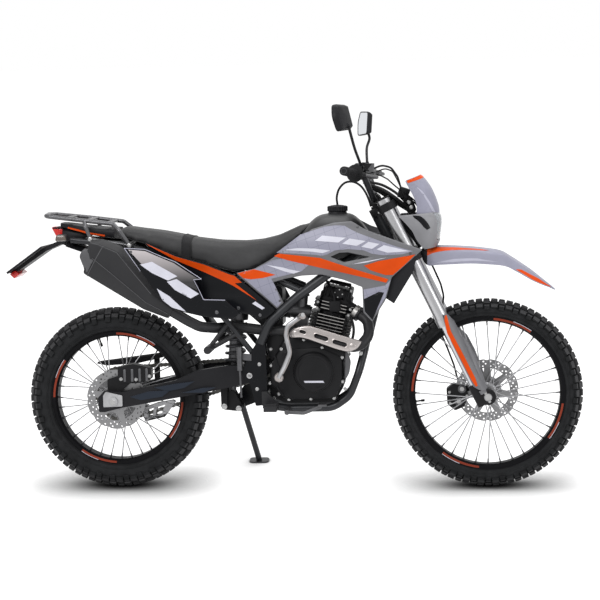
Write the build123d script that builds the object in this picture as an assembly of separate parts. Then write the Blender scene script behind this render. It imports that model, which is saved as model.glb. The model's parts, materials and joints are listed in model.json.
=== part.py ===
from build123d import *
import os
from functools import cache
from math import asin, atan2, cos, hypot, radians, sin, tan

# Dirt bike, millimetres.  Every piece is modelled on the upright machine:
# x forward, y to the left, z up from the ground.  The frame, the engine and the
# steering head keep their places; the front wheel's size sets how far down the
# fork reaches, and the wheelbase sets how far back the swingarm does.
# At the end the whole machine leans onto its side stand, and the origin
# becomes the bottom centre of its box.

# ---- driving dimensions -------------------------------------------------
WHEELBASE = 1360
FRONT_TYRE_R = 345
REAR_TYRE_R = 336
FRONT_TYRE_WIDTH = 86
REAR_TYRE_WIDTH = 110
FRONT_CROWN_R = 52
REAR_CROWN_R = 62
TYRE_WALL = 9
FRONT_RIM_R = FRONT_TYRE_R - 64       # outside of the rim flange
REAR_RIM_R = REAR_TYRE_R - 87
FRONT_RIM_WIDTH = 54
REAR_RIM_WIDTH = 66
RIM_DEPTH = 19
FLANGE = 4
AXLE_R = 9.95
BEARING_R = 10.0
SPOKE_R = 2.0
SPOKES = 36

RAKE = 25.7                # degrees from the vertical
STEER_FOOT = (1301.43, 316.81)   # a point of the steering axis, x and z
AXLE_LEAD = 65             # front axle ahead of the steering axis
LEG_LEAD = 42              # fork legs ahead of the steering axis
LEG_Y = 97                 # half of the leg spacing
OUTER_TUBE_R = 25.5
INNER_TUBE_R = 20
STEM_R = 14.95
STEM_BORE_R = 15.0
LOWER_CLAMP = (553, 592)   # heights along the steering axis
TOP_CLAMP = (756, 784)
OUTER_TUBE = (298, 802)
BEARING_GAP = 0.5          # head tube to each clamp

FRAME_TUBE_R = 16
RAIL_R = 12
MAIN_TUBE_Y = 118
CRADLE_Y = 66
RAIL_Y = 78
PIVOT = (503, 429)         # swingarm pivot, x and z
PIVOT_BOLT_R = 8
ARM_OUT_Y = 112
ARM_THICK = 30
ARM_FRONT_Y = 92
SPROCKET_Y = 68
CHAIN_PITCH = 15.875
REAR_TEETH = 40
FRONT_TEETH = 13
COUNTERSHAFT = (566, 440)
DISC_THICK = 4
FRONT_DISC_R = 115
REAR_DISC_R = 110
FRONT_DISC_Y = 52
REAR_DISC_Y = -64

CYLINDER_TILT = 14
CYLINDER_BASE = (772, 522)
PANEL_WALL = 4
PIPE_R = 19

LEAN = 9.0                 # degrees onto the side stand
STEER_LIMIT = 42           # degrees each way
STAND_FOLD = 98            # degrees from down to folded
STAND_PIVOT = (436, 126, 305)
STAND_AXIS = (0, 0.92, 0.392)
STAND_FOOT = (486, 262)    # x and y of the foot's middle, upright machine
STAND_R = 11
STAND_PIN_R = 6
STAND_EYE = 13             # length of the stand's pivot eye
PIN_GAP = 0.05
RACK_FOOT_Y = 116
MIRROR_Y = 345
GRIP_END_Y = 400

# ---- helpers --------------------------------------------------------------
RAKE_SIN = sin(radians(RAKE))
RAKE_COS = cos(radians(RAKE))
# how far up the steering axis from its foot the front axle lies
AXLE_UP = (FRONT_TYRE_R - STEER_FOOT[1] - AXLE_LEAD * RAKE_SIN) / RAKE_COS
AXLE = (STEER_FOOT[0] + AXLE_LEAD * RAKE_COS - AXLE_UP * RAKE_SIN, FRONT_TYRE_R)
REAR_AXLE = (AXLE[0] - WHEELBASE, REAR_TYRE_R)
# steering frame: local x forward at right angles to the axis, z up along it
STEER = Plane(
    origin=(STEER_FOOT[0], 0, STEER_FOOT[1]),
    x_dir=(RAKE_COS, 0, RAKE_SIN),
    z_dir=(-RAKE_SIN, 0, RAKE_COS),
)


def steer_point(x, y, z):
    """Machine coordinates of a steering-frame point."""
    p = STEER.from_local_coords(Vector(x, y, z))
    return (p.X, p.Y, p.Z)


def near_front_axle(points):
    """Outline points given from the front axle."""
    return [(AXLE[0] + x, AXLE[1] + z) for x, z in points]


def near_rear_axle(points):
    """Outline points given from the rear axle."""
    return [(REAR_AXLE[0] + x, REAR_AXLE[1] + z) for x, z in points]


def along_arm(points):
    """Outline points given as a share of the way from pivot to axle, and a height above it."""
    run_x = REAR_AXLE[0] - PIVOT[0]
    run_z = REAR_AXLE[1] - PIVOT[1]
    length = hypot(run_x, run_z)
    return [
        (PIVOT[0] + share * run_x + up * run_z / length, PIVOT[1] + share * run_z - up * run_x / length)
        for share, up in points
    ]


def outline(points, round_by=0):
    face = make_face(Polyline(*points, close=True))
    if round_by:
        face = fillet(face.vertices(), round_by)
    return Plane.XZ * face


def slab(points, y_low, y_high, round_by=0):
    """A plate with an outline in x and z, from y_low to y_high."""
    return extrude(Pos(0, y_high, 0) * outline(points, round_by), y_high - y_low)


def plan_slab(points, z_low, z_high, round_by=0):
    """A plate with an outline in x and y, from z_low to z_high."""
    face = make_face(Polyline(*points, close=True))
    if round_by:
        face = fillet(face.vertices(), round_by)
    return extrude(Pos(0, 0, z_low) * face, z_high - z_low)


def turn_angle(a, b, c):
    before = Vector(*b) - Vector(*a)
    after = Vector(*c) - Vector(*b)
    return before.get_angle(after), min(before.length, after.length)


def bend_path(points, largest):
    """Straight runs joined by arcs, each as large as its runs allow."""
    if len(points) == 2:
        return Line(*points)
    radii = []
    for a, b, c in zip(points, points[1:], points[2:]):
        angle, run = turn_angle(a, b, c)
        radii.append(min(largest, 0.45 * run / tan(radians(angle / 2))))
    return FilletPolyline(*points, radius=radii)


def tube(points, radius, largest=90):
    path = bend_path(points, largest)
    section = Plane(origin=path @ 0, z_dir=path % 0) * Circle(radius)
    return sweep(section, path)


def rod(a, b, radius):
    """A round bar from point a to point b."""
    along = Vector(*b) - Vector(*a)
    base = Plane(origin=a, z_dir=along)
    return extrude(base * Circle(radius), along.length)


def across(x, z, radius, y_low, y_high):
    """A round bar along y."""
    return rod((x, y_low, z), (x, y_high, z), radius)


def mirrored(shape):
    return mirror(shape, about=Plane.XZ)


def both_sides(shape):
    return Compound(children=[*shape.solids(), *mirrored(shape).solids()])


def group(*shapes):
    return Compound(children=[s for shape in shapes for s in shape.solids()])


def ribbon(points, wall, z_low, z_high):
    """A wall that follows a smooth line in x and y and stands along z."""
    outer = Spline(*[Vector(x, y) for x, y in points])
    inner = Spline(*[Vector(x, y + wall) for x, y in points])
    ends = [Line(outer @ 0, inner @ 0), Line(outer @ 1, inner @ 1)]
    face = make_face([outer, inner, *ends])
    return extrude(Pos(0, 0, z_low) * face, z_high - z_low)


def hull_of_circles(circles):
    """Convex outline round (x, z, radius) circles, as a face in x and z."""
    discs = [Pos(x, z) * Circle(r) for x, z, r in circles]
    return Plane.XZ * make_hull([e for d in discs for e in d.edges()])


def link(circles, y_low, y_high):
    """A lever plate whose outline wraps (x, z, radius) circles."""
    face = Pos(0, y_high, 0) * hull_of_circles(circles)
    return extrude(face, y_high - y_low)


# ---- wheels -----------------------------------------------------------------
def ring(points):
    """A turned piece: (radius, y) outline about the y axis."""
    return revolve(make_face(Polyline(*points, close=True)), Axis.Y)


def tyre(radius, width, crown_r, rim_r, rim_width):
    half = width / 2
    bead = rim_width / 2 - FLANGE
    seat = rim_r - RIM_DEPTH + 9
    crown_centre = radius - crown_r
    shoulder_r = crown_centre + (crown_r**2 - half**2) ** 0.5
    bulge_r = (rim_r + shoulder_r) / 2
    wall = TYRE_WALL
    tread = ThreePointArc((shoulder_r, half), (radius, 0), (shoulder_r, -half))
    left = Spline((rim_r + 1, bead), (bulge_r, half - 3), (shoulder_r, half))
    right = Spline((rim_r + 1, -bead), (bulge_r, 3 - half), (shoulder_r, -half))
    inner = Spline(
        (rim_r + 1, bead - 6),
        (bulge_r, half - 3 - wall),
        (shoulder_r - wall / 2, half - wall - 1),
        (radius - wall - 8, 0),
        (shoulder_r - wall / 2, wall + 1 - half),
        (bulge_r, 3 + wall - half),
        (rim_r + 1, 6 - bead),
    )
    lines = [
        Line((rim_r + 1, bead), (seat, bead)),
        Line((seat, bead), (seat, bead - 6)),
        Line((seat, bead - 6), (rim_r + 1, bead - 6)),
        Line((rim_r + 1, -bead), (seat, -bead)),
        Line((seat, -bead), (seat, 6 - bead)),
        Line((seat, 6 - bead), (rim_r + 1, 6 - bead)),
    ]
    return revolve(make_face([tread, left, right, inner, *lines]), Axis.Y)


def rim(rim_r, rim_width):
    half = rim_width / 2
    seat = rim_r - RIM_DEPTH + 8.7
    well = rim_r - RIM_DEPTH + 4
    base = rim_r - RIM_DEPTH
    return ring(
        [
            (rim_r, half),
            (rim_r, half - FLANGE + 0.3),
            (seat, half - FLANGE + 0.3),
            (seat, half - 12),
            (well, half - 18),
            (well, 18 - half),
            (seat, 12 - half),
            (seat, FLANGE - 0.3 - half),
            (rim_r, FLANGE - 0.3 - half),
            (rim_r, -half),
            (seat - 2, -half),
            (base, 10 - half),
            (base, half - 10),
            (seat - 2, half),
        ]
    )


def spokes(flange_r, flange_y, rim_inner_r):
    """Crossed spokes from both flanges to the rim's middle."""
    bars = []
    for i in range(SPOKES):
        side = 1 if i % 2 else -1
        lead = 34 if (i // 2) % 2 else -34
        at = 360 / SPOKES * i
        start = (
            flange_r * cos(radians(at + lead)),
            side * flange_y,
            flange_r * sin(radians(at + lead)),
        )
        end = (
            (rim_inner_r + 1) * cos(radians(at)),
            side * 4,
            (rim_inner_r + 1) * sin(radians(at)),
        )
        bars.append(rod(start, end, SPOKE_R))
    return bars


def hub(flange_r, right_y, left_y, flange_y, rim_inner_r):
    """Barrel, two spoke flanges, bearing bore and the laced spokes."""
    barrel = ring(
        [
            (BEARING_R, right_y),
            (BEARING_R, left_y),
            (flange_r * 0.62, left_y),
            (flange_r * 0.62, flange_y + 5),
            (flange_r + 5, flange_y + 4),
            (flange_r + 5, flange_y - 3),
            (flange_r * 0.7, flange_y - 12),
            (flange_r * 0.7, 12 - flange_y),
            (flange_r + 5, 3 - flange_y),
            (flange_r + 5, -4 - flange_y),
            (flange_r * 0.62, -5 - flange_y),
            (flange_r * 0.62, right_y),
        ]
    )
    laced = barrel + spokes(flange_r, flange_y, rim_inner_r)
    trim = ring([(0, -60), (rim_inner_r - 0.1, -60), (rim_inner_r - 0.1, 60), (0, 60)])
    return laced & trim


def brake_disc(radius, bore_r, y_middle, waves):
    disc = across(0, 0, radius, y_middle - DISC_THICK / 2, y_middle + DISC_THICK / 2)
    window = radius - 34
    cut = across(0, 0, bore_r, y_middle - 9, y_middle + 9)
    notches = []
    for i in range(waves):
        a = radians(360 / waves * i)
        notches.append(
            across((radius + 9) * cos(a), (radius + 9) * sin(a), 16, y_middle - 9, y_middle + 9)
        )
        b = a + radians(180 / waves)
        notches.append(
            across((window - 6) * cos(b), (window - 6) * sin(b), 13, y_middle - 9, y_middle + 9)
        )
    return disc - cut - notches


def pitch_r(teeth):
    return CHAIN_PITCH / sin(radians(180 / teeth)) / 2


TOOTH_OVER = 4.2           # tooth tip above the pitch circle
CHAIN_HALF = 7.5           # plate edge from the pitch line
CHAIN_WIDTH = 14


def sprocket(teeth, bore_r, thick):
    tip = pitch_r(teeth) + TOOTH_OVER
    plate = across(0, 0, tip, -thick / 2, thick / 2)
    cut = across(0, 0, bore_r, -9, 9)
    gaps = []
    for i in range(teeth):
        a = radians(360 / teeth * (i + 0.5))
        p = pitch_r(teeth) + 1.2
        gaps.append(across(p * cos(a), p * sin(a), 5, -9, 9))
    return Pos(0, SPROCKET_Y, 0) * (plate - cut - gaps)


def front_wheel_pieces():
    inner = FRONT_RIM_R - RIM_DEPTH
    return {
        "front_tyre": tyre(
            FRONT_TYRE_R, FRONT_TYRE_WIDTH, FRONT_CROWN_R, FRONT_RIM_R, FRONT_RIM_WIDTH
        ),
        "front_rim": rim(FRONT_RIM_R, FRONT_RIM_WIDTH),
        "front_hub": hub(27, -58, 58, 34, inner),
        "front_brake_disc": brake_disc(FRONT_DISC_R, 30, FRONT_DISC_Y, 10) + disc_carrier(
            FRONT_DISC_Y, 27 * 0.62, 31
        ),
    }


def disc_carrier(y_middle, inner_r, outer_r):
    inside = across(0, 0, inner_r + 0.02, -90, 90)
    return across(0, 0, outer_r, y_middle - 5, y_middle + 5) - inside


def rear_wheel_pieces():
    inner = REAR_RIM_R - RIM_DEPTH
    barrel_r = 36 * 0.62
    carrier = disc_carrier(SPROCKET_Y, barrel_r, 46)
    return {
        "rear_tyre": tyre(
            REAR_TYRE_R, REAR_TYRE_WIDTH, REAR_CROWN_R, REAR_RIM_R, REAR_RIM_WIDTH
        ),
        "rear_rim": rim(REAR_RIM_R, REAR_RIM_WIDTH),
        "rear_hub": hub(36, -74, 76, 40, inner),
        "rear_brake_disc": brake_disc(REAR_DISC_R, 30, REAR_DISC_Y, 10)
        + disc_carrier(REAR_DISC_Y, barrel_r, 31),
        "rear_sprocket": sprocket(REAR_TEETH, 42, 6) + carrier,
    }


# ---- steering assembly, in the steering frame ---------------------------------
def clamp_plate(low, high, reach):
    """A fork clamp: both leg bosses, the arm between them and the stem boss."""
    leg = [(LEG_LEAD, side * LEG_Y, OUTER_TUBE_R + 9) for side in (1, -1)]
    discs = [Pos(x, y) * Circle(r) for x, y, r in [*leg, (0, 0, 26), (reach, 0, 22)]]
    plate = extrude(Pos(0, 0, low) * make_hull([e for d in discs for e in d.edges()]), high - low)
    for side in (1, -1):
        plate -= Pos(LEG_LEAD, side * LEG_Y, (low + high) / 2) * Cylinder(OUTER_TUBE_R, 80)
        pocket = Pos(14, side * 52, (low + high) / 2)
        plate -= pocket * Cylinder(11, 80)
    return plate


BAR_AT = (12, 812)         # handlebar's middle in the steering frame, x and z
BAR_R = 11
BAR_BORE_R = 8
BAR_BORE_DEPTH = 60
BAR_CLAMP_R = 14
STEM_TOP = TOP_CLAMP[1] + 8


@cache
def triple_clamps():
    stem_low = LOWER_CLAMP[0]
    lower = clamp_plate(*LOWER_CLAMP, 30)
    upper = clamp_plate(*TOP_CLAMP, 30)
    stem = Pos(0, 0, (stem_low + STEM_TOP) / 2) * Cylinder(STEM_R, STEM_TOP - stem_low)
    perches = []
    for side in (1, -1):
        foot = Pos(BAR_AT[0], side * 38, (TOP_CLAMP[1] + BAR_AT[1]) / 2)
        perches.append(foot * Box(34, 20, BAR_AT[1] - TOP_CLAMP[1] + 2))
        perches.append(
            Pos(BAR_AT[0], side * 38, BAR_AT[1]) * Rot(X=90) * Cylinder(BAR_CLAMP_R + 8, 20)
        )
    solid = lower + stem + upper + perches
    bar_hole = Pos(BAR_AT[0], 0, BAR_AT[1]) * Rot(X=90) * Cylinder(BAR_CLAMP_R, 200)
    return STEER * (solid - bar_hole)


def fork_outer_tubes():
    low, high = OUTER_TUBE
    body = Pos(LEG_LEAD, LEG_Y, (low + high) / 2) * Cylinder(OUTER_TUBE_R, high - low)
    body += Pos(LEG_LEAD, LEG_Y, low + 14) * Cylinder(OUTER_TUBE_R + 2.5, 28)
    body -= Pos(LEG_LEAD, LEG_Y, low + 90) * Cylinder(INNER_TUBE_R, 190)
    return STEER * both_sides(body)


@cache
def fork_legs():
    """Inner tubes with the cast feet that hold the axle."""
    top = OUTER_TUBE[0] + 180
    low = AXLE_UP + 20
    body = Pos(LEG_LEAD, LEG_Y, (top + low) / 2) * Cylinder(INNER_TUBE_R, top - low)
    foot = Pos(LEG_LEAD, LEG_Y, AXLE_UP + 22) * Cylinder(INNER_TUBE_R + 6, 84)
    middle = Pos((LEG_LEAD + AXLE_LEAD) / 2, LEG_Y - 4, AXLE_UP)
    lug = middle * Box(AXLE_LEAD - LEG_LEAD + 20, 34, 44)
    eye = Pos(AXLE_LEAD, LEG_Y - 4, AXLE_UP) * Rot(X=90) * Cylinder(24, 42)
    bore = Pos(AXLE_LEAD, LEG_Y, AXLE_UP) * Rot(X=90) * Cylinder(AXLE_R, 90)
    nut_seat = Pos(AXLE_LEAD, LEG_Y + 32, AXLE_UP) * Rot(X=90) * Cylinder(15.6, 30)
    return STEER * both_sides(body + foot + lug + eye - bore - nut_seat)


GUARD_LENGTH = 265
GUARD_UP = 162             # guard's middle above the axle, along the leg
GUARD_R = INNER_TUBE_R + 16


def fork_guards():
    """Plastic guards in front of the inner tubes, bolted to the feet."""
    leg = Pos(LEG_LEAD, LEG_Y, AXLE_UP)
    shell = leg * Pos(0, 0, GUARD_UP) * Cylinder(GUARD_R, GUARD_LENGTH)
    shell -= leg * Pos(0, 0, GUARD_UP) * Cylinder(GUARD_R - 3, GUARD_LENGTH + 35)
    shell -= leg * Pos(-40, 0, GUARD_UP) * Box(64, 120, GUARD_LENGTH + 35)
    wing = leg * Pos(33, -8, 60) * Box(22, 50, 70)
    wing -= leg * Pos(0, 0, 60) * Cylinder(GUARD_R - 2, 100)
    web = leg * Pos(18, 20, 52) * Box(10, 12, 14)
    web -= leg * Pos(0, 0, 52) * Cylinder(INNER_TUBE_R + 6, 100)
    return STEER * both_sides(shell + wing + web)


def front_axle():
    half = LEG_Y + 17
    bar = across(AXLE[0], AXLE[1], AXLE_R, -half - 4, half + 4)
    nut = across(AXLE[0], AXLE[1], 15, half + 0.3, half + 9)
    head = across(AXLE[0], AXLE[1], 14, -half - 7, -half - 0.3)
    return bar + nut + head


BAR_CENTRE = steer_point(BAR_AT[0], 0, BAR_AT[1])
BAR_BEND = (BAR_CENTRE[0] - 30, 195, 1146)
GRIP_INNER = (900, 275, 1158)
GRIP_END = (875, GRIP_END_Y, 1166)


def handlebar():
    path = [
        (GRIP_END[0], -GRIP_END[1], GRIP_END[2]),
        (BAR_BEND[0], -BAR_BEND[1], BAR_BEND[2]),
        (BAR_CENTRE[0], -72, BAR_CENTRE[2]),
        (BAR_CENTRE[0], 72, BAR_CENTRE[2]),
        BAR_BEND,
        GRIP_END,
    ]
    middle = across(BAR_CENTRE[0], BAR_CENTRE[2], BAR_CLAMP_R, -60, 60)
    return tube(path, BAR_R, 70) + middle - both_sides(bar_end_bore())


def bar_end_bore():
    end = Vector(*GRIP_END)
    inward = (Vector(*BAR_BEND) - end).normalized()
    return rod(tuple(end - inward * 5), tuple(end + inward * BAR_BORE_DEPTH), BAR_BORE_R)


def on_grip(share):
    """A point on the straight end of the left handlebar half."""
    a = Vector(*BAR_BEND)
    b = Vector(*GRIP_END)
    return a + (b - a) * share


def grip_sleeve(share_from, share_to, radius):
    a = on_grip(share_from)
    b = on_grip(share_to)
    sleeve = rod(tuple(a), tuple(b), radius)
    past = (b - a).normalized() * 5
    return sleeve - rod(tuple(a - past), tuple(b + past), BAR_R)


def grips():
    sleeve = grip_sleeve(0.42, 0.995, 16)
    sleeve += grip_sleeve(0.42, 0.45, 22)
    return both_sides(sleeve)


@cache
def hand_controls():
    """Left clutch perch and lever, right throttle housing, brake master and lever."""
    switch = grip_sleeve(0.24, 0.40, 20)
    perch = grip_sleeve(0.10, 0.22, 18)
    a = on_grip(0.16)
    pivot = a + Vector(44, 4, -6)
    tip = on_grip(0.96) + Vector(66, 0, -14)
    elbow = pivot + Vector(18, 40, -4)
    arm = rod(tuple(a + Vector(16, 1, -2)), tuple(pivot), 9)
    eye = Pos(*pivot) * Cylinder(12, 20)
    lever = tube([tuple(pivot), tuple(elbow), tuple(tip)], 6, 30)
    left = switch + perch + arm + eye + lever + Pos(*tip) * Sphere(8)
    return group(left, mirrored(left) + master_cylinder())


def mirror_piece(base, knee, top, size, tilt):
    stem = tube([base, knee, top], 5, 40)
    width, height, depth = size
    head = Box(depth, width, height)
    head = fillet(head.edges().filter_by(Axis.X), 22)
    head = fillet(head.edges(), 5)
    return stem + Pos(top[0], top[1], top[2] + height * 0.3) * Rot(Y=tilt) * head


def mirrors():
    seat = on_grip(0.16)
    base = (seat.X + 2, seat.Y, seat.Z + 17)
    right = mirror_piece(
        (base[0], -base[1], base[2]),
        (base[0] - 16, -MIRROR_Y + 60, 1238),
        (868, -MIRROR_Y, 1316),
        (108, 96, 28),
        -14,
    )
    left = mirror_piece(
        base,
        (base[0] - 4, MIRROR_Y - 60, 1238),
        (910, MIRROR_Y, 1300),
        (108, 96, 28),
        6,
    )
    return group(right, left) - hand_controls()


def instrument():
    case = slab([(1038, 1062), (1052, 1102), (1092, 1088), (1078, 1050)], -34, 34, 6)
    bracket = slab([(1010, 1028), (1022, 1048), (1048, 1074), (1060, 1062), (1024, 1024)], -8, 8)
    return case + (bracket - triple_clamps())


MASK_TOP_LINE = [
    (1042, -104), (1100, -101), (1150, -88), (1186, -56), (1200, 0),
    (1186, 56), (1150, 88), (1100, 101), (1042, 104),
]


def mask_shell(points, wall, z_low, z_high):
    outer = Spline(*[Vector(x, y) for x, y in points])
    inner = Spline(*[Vector(x - wall, y * (1 - wall / 104)) for x, y in points])
    ends = [Line(outer @ 0, inner @ 0), Line(outer @ 1, inner @ 1)]
    return extrude(Pos(0, 0, z_low) * make_face([outer, inner, *ends]), z_high - z_low)


def headlight_mask():
    side = [
        (1048, 992), (1098, 1007), (1120, 1008), (1076, 1100), (1073, 1120),
        (1119, 1142), (1136, 1138), (1142, 1123), (1169, 1086), (1190, 1038),
        (1204, 1000), (1204, 940), (1196, 918), (1189, 892), (1139, 876),
        (1112, 911), (1095, 945), (1077, 964),
    ]
    shell = mask_shell(MASK_TOP_LINE, 5, 860, 1150) & slab(side, -130, 130)
    window = slab([(1120, 916), (1120, 1012), (1230, 1012), (1230, 916)], -52, 52, 12)
    tubes = Pos(LEG_LEAD, LEG_Y, 600) * Cylinder(OUTER_TUBE_R + 0.3, 600)
    return shell - window - (STEER * both_sides(tubes))


HEADLIGHT_HALF = 51.5


@cache
def headlight():
    """Lens in the mask's window, with its case behind."""
    lens = [(1150, 918.5), (1150, 1009.5), (1192, 1009.5), (1203, 996), (1201, 958), (1193, 918.5)]
    case = [(1108, 936), (1108, 994), (1150, 1009.5), (1150, 918.5)]
    shape = slab(lens, -HEADLIGHT_HALF, HEADLIGHT_HALF) - mask_shell(MASK_TOP_LINE, 5, 860, 1150)
    front = shape.solids().sort_by(SortBy.VOLUME)[-1]
    return front + slab(case, -HEADLIGHT_HALF, HEADLIGHT_HALF)


def front_fender():
    """Arched blade over the front wheel, bolted under the lower clamp."""
    top = [
        (1118, 868), (1157, 884), (1239, 884), (1356, 874), (1410, 864), (1445, 845),
        (1511, 800), (1576, 748), (1607, 721),
    ]
    crown = Spline(*[Vector(x, z) for x, z in top])
    under = Spline(*[Vector(x - 1, z - 5) for x, z in top])
    ends = [Line(crown @ 0, under @ 0), Line(crown @ 1, under @ 1)]
    blade = extrude(Pos(0, 110, 0) * (Plane.XZ * make_face([crown, under, *ends])), 220)
    side_top = [(x, z - 2) for x, z in top]
    skirt_low = [
        (1573, 735), (1546, 745), (1470, 789), (1424, 811), (1354, 819), (1277, 822),
        (1180, 818), (1141, 814), (1128, 850),
    ]
    skirt = slab(side_top + skirt_low, -110, 110)
    plan = [
        (1118, -46), (1180, -66), (1260, -72), (1400, -66), (1520, -56), (1590, -38), (1610, -12),
        (1610, 12), (1590, 38), (1520, 56), (1400, 66), (1260, 72), (1180, 66), (1118, 46),
    ]
    inner = [(x, y * 0.93) for x, y in plan]
    rim_wall = plan_slab(plan, 700, 900) - plan_slab(inner, 690, 910)
    blade = blade & plan_slab(plan, 700, 900)
    under_clamp = LOWER_CLAMP[0]
    tongue = STEER * (Pos(48, 0, under_clamp - 4) * Box(76, 98, 7.4))
    room = STEER * (Pos(20, 0, under_clamp + 50) * Box(68, 300, 100.6))
    return (blade + (skirt & rim_wall) + tongue) - room - triple_clamps()


@cache
def front_brake_caliper():
    """Two-piston caliper behind the left leg, astride the disc."""
    shape = near_front_axle(
        [(-149, 7), (-124, 27), (-82, 17), (-68, -15), (-84, -59), (-118, -73), (-146, -49)]
    )
    body = slab(shape, FRONT_DISC_Y - 15, FRONT_DISC_Y + 24, 9)
    disc_room = across(*AXLE, FRONT_DISC_R + 6, FRONT_DISC_Y - 7.5, FRONT_DISC_Y + 7.5)
    arm = near_front_axle([(-98, -45), (-98, 7), (-38, 27), (-38, -15)])
    bracket = slab(arm, FRONT_DISC_Y + 14, LEG_Y - 13)
    return body + bracket - disc_room - fork_legs() - fork_guards()


HOSE_R = 3.5


def master_cylinder():
    """Brake fluid can beside the right-hand lever."""
    at = on_grip(0.13)
    can = Pos(at.X + 30, -at.Y, at.Z + 24) * Box(34, 44, 30)
    return chamfer(can.edges().filter_by(Axis.Z), 5)


def front_brake_hose():
    """From the can, across behind the mask and down the left leg to the caliper."""
    lower = [
        (88, 70, 600), (89, 72, 540), (88, 71, 480), (86, 69, 425), (76, 63, 380), (52, 61, 345),
        (24, 63, 315), (6, 73, 265),
    ]
    feet = [(2, 79, 200), (-4, 77, 135), (-13, 70, 92), (-16, 64, 50)]
    path = [
        (966, -216, 1168), (994, -206, 1180), (1026, -176, 1172), (1048, -132, 1138),
        (1060, -88, 1088), (1074, -44, 1042), (1084, 6, 1014), (1090, 50, 974), (1103, 68, 932),
    ]
    path += [steer_point(*p) for p in lower]
    path += [steer_point(n, y, AXLE_UP + b) for n, y, b in feet]
    return tube(path, HOSE_R, 60) - master_cylinder() - front_brake_caliper()


CABLE_R = 2.5


def control_cables():
    """Throttle and clutch cables from the bar to the box behind the headlight."""
    throttle = [
        (934, -252, 1172), (962, -236, 1156), (992, -206, 1144), (1014, -160, 1130),
        (1030, -114, 1112), (1048, -74, 1094), (1072, -46, 1076), (1102, -30, 1052),
        (1124, -22, 1022), (1126, -20, 994),
    ]
    clutch = [
        (962, 214, 1152), (992, 192, 1162), (1020, 154, 1152), (1038, 110, 1122),
        (1056, 72, 1086), (1084, 44, 1056), (1114, 28, 1028), (1126, 20, 994),
    ]
    space = hand_controls() + grips() + headlight()
    return group(tube(throttle, CABLE_R, 60) - space, tube(clutch, CABLE_R, 60) - space)


# ---- chassis ---------------------------------------------------------------------
HEAD_TUBE = (LOWER_CLAMP[1] + BEARING_GAP, TOP_CLAMP[0] - BEARING_GAP)
HEAD_TUBE_R = 26


def head_tube_solid():
    low, high = HEAD_TUBE
    return STEER * (Pos(0, 0, (low + high) / 2) * Cylinder(HEAD_TUBE_R, high - low))


def stem_bore():
    low, high = HEAD_TUBE
    return STEER * (Pos(0, 0, (low + high) / 2) * Cylinder(STEM_BORE_R, high - low + 20))


def main_tube_path(side):
    start = steer_point(-8, side * 10, 676)
    return [
        start,
        (880, side * 78, 852),
        (782, side * MAIN_TUBE_Y, 785),
        (681, side * MAIN_TUBE_Y, 712),
        (578, side * MAIN_TUBE_Y, 622),
        (545, side * (MAIN_TUBE_Y - 4), 545),
    ]


FRAME_CROSSES = [(540, 548), (548, 340)]
FRAME_CROSS_R = 13
PIVOT_PLATE = [
    (533, 552), (562, 552), (566, 438), (567, 322), (524, 318), (505, 397), (474, 440), (500, 500),
]


PLATE_IN_Y = ARM_FRONT_Y + 8
PLATE_OUT_Y = PLATE_IN_Y + 22


@cache
def main_frame():
    """Head tube, twin main tubes and the swingarm pivot plates."""
    shape = head_tube_solid()
    for side in (1, -1):
        shape += tube(main_tube_path(side), FRAME_TUBE_R, 120)
        shape += slab(PIVOT_PLATE, *sorted((side * PLATE_IN_Y, side * PLATE_OUT_Y)), 6)
    for cross in FRAME_CROSSES:
        shape += across(*cross, FRAME_CROSS_R, 8 - PLATE_OUT_Y, PLATE_OUT_Y - 8)
    shape -= across(*PIVOT, PIVOT_BOLT_R, -PLATE_OUT_Y - 18, PLATE_OUT_Y + 18)
    return shape - stem_bore() + stand_bracket()


def along_stand_axis(start, end, radius):
    """A round bar on the side stand's hinge axis, between two distances from the pivot."""
    pivot = Vector(*STAND_PIVOT)
    axis = Vector(*STAND_AXIS).normalized()
    return rod(tuple(pivot + axis * start), tuple(pivot + axis * end), radius)


def stand_bracket():
    """Lug, boss and pin that carry the side stand."""
    side = [(424, 284), (420, 310), (478, 400), (560, 340), (560, 320), (450, 278)]
    lug = slab(side, PLATE_IN_Y, PLATE_IN_Y + 12, 5)
    boss = along_stand_axis(-26, -STAND_EYE / 2 - 0.5, 15)
    return lug + boss + along_stand_axis(-20, 11, STAND_PIN_R)


def engine_cradle():
    """Downtube from the head, splitting into two tubes under the engine."""
    down = tube(
        [steer_point(-12, 0, 645), steer_point(-82, 0, 592), (955, 0, 660), (925, 0, 545)],
        FRAME_TUBE_R + 2, 120,
    )
    shape = down
    for side in (1, -1):
        y = side * CRADLE_Y
        path = [
            (926, side * 8, 552), (914, side * 44, 500), (893, y, 425), (862, y, 345),
            (800, y, 302), (640, y, 300), (548, side * (CRADLE_Y + 22), 318),
        ]
        shape += tube(path, FRAME_TUBE_R - 2, 80)
    shape += across(860, 342, 9, -CRADLE_Y, CRADLE_Y)
    shape -= head_tube_solid()
    return shape - triple_clamps() - main_frame()


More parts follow.
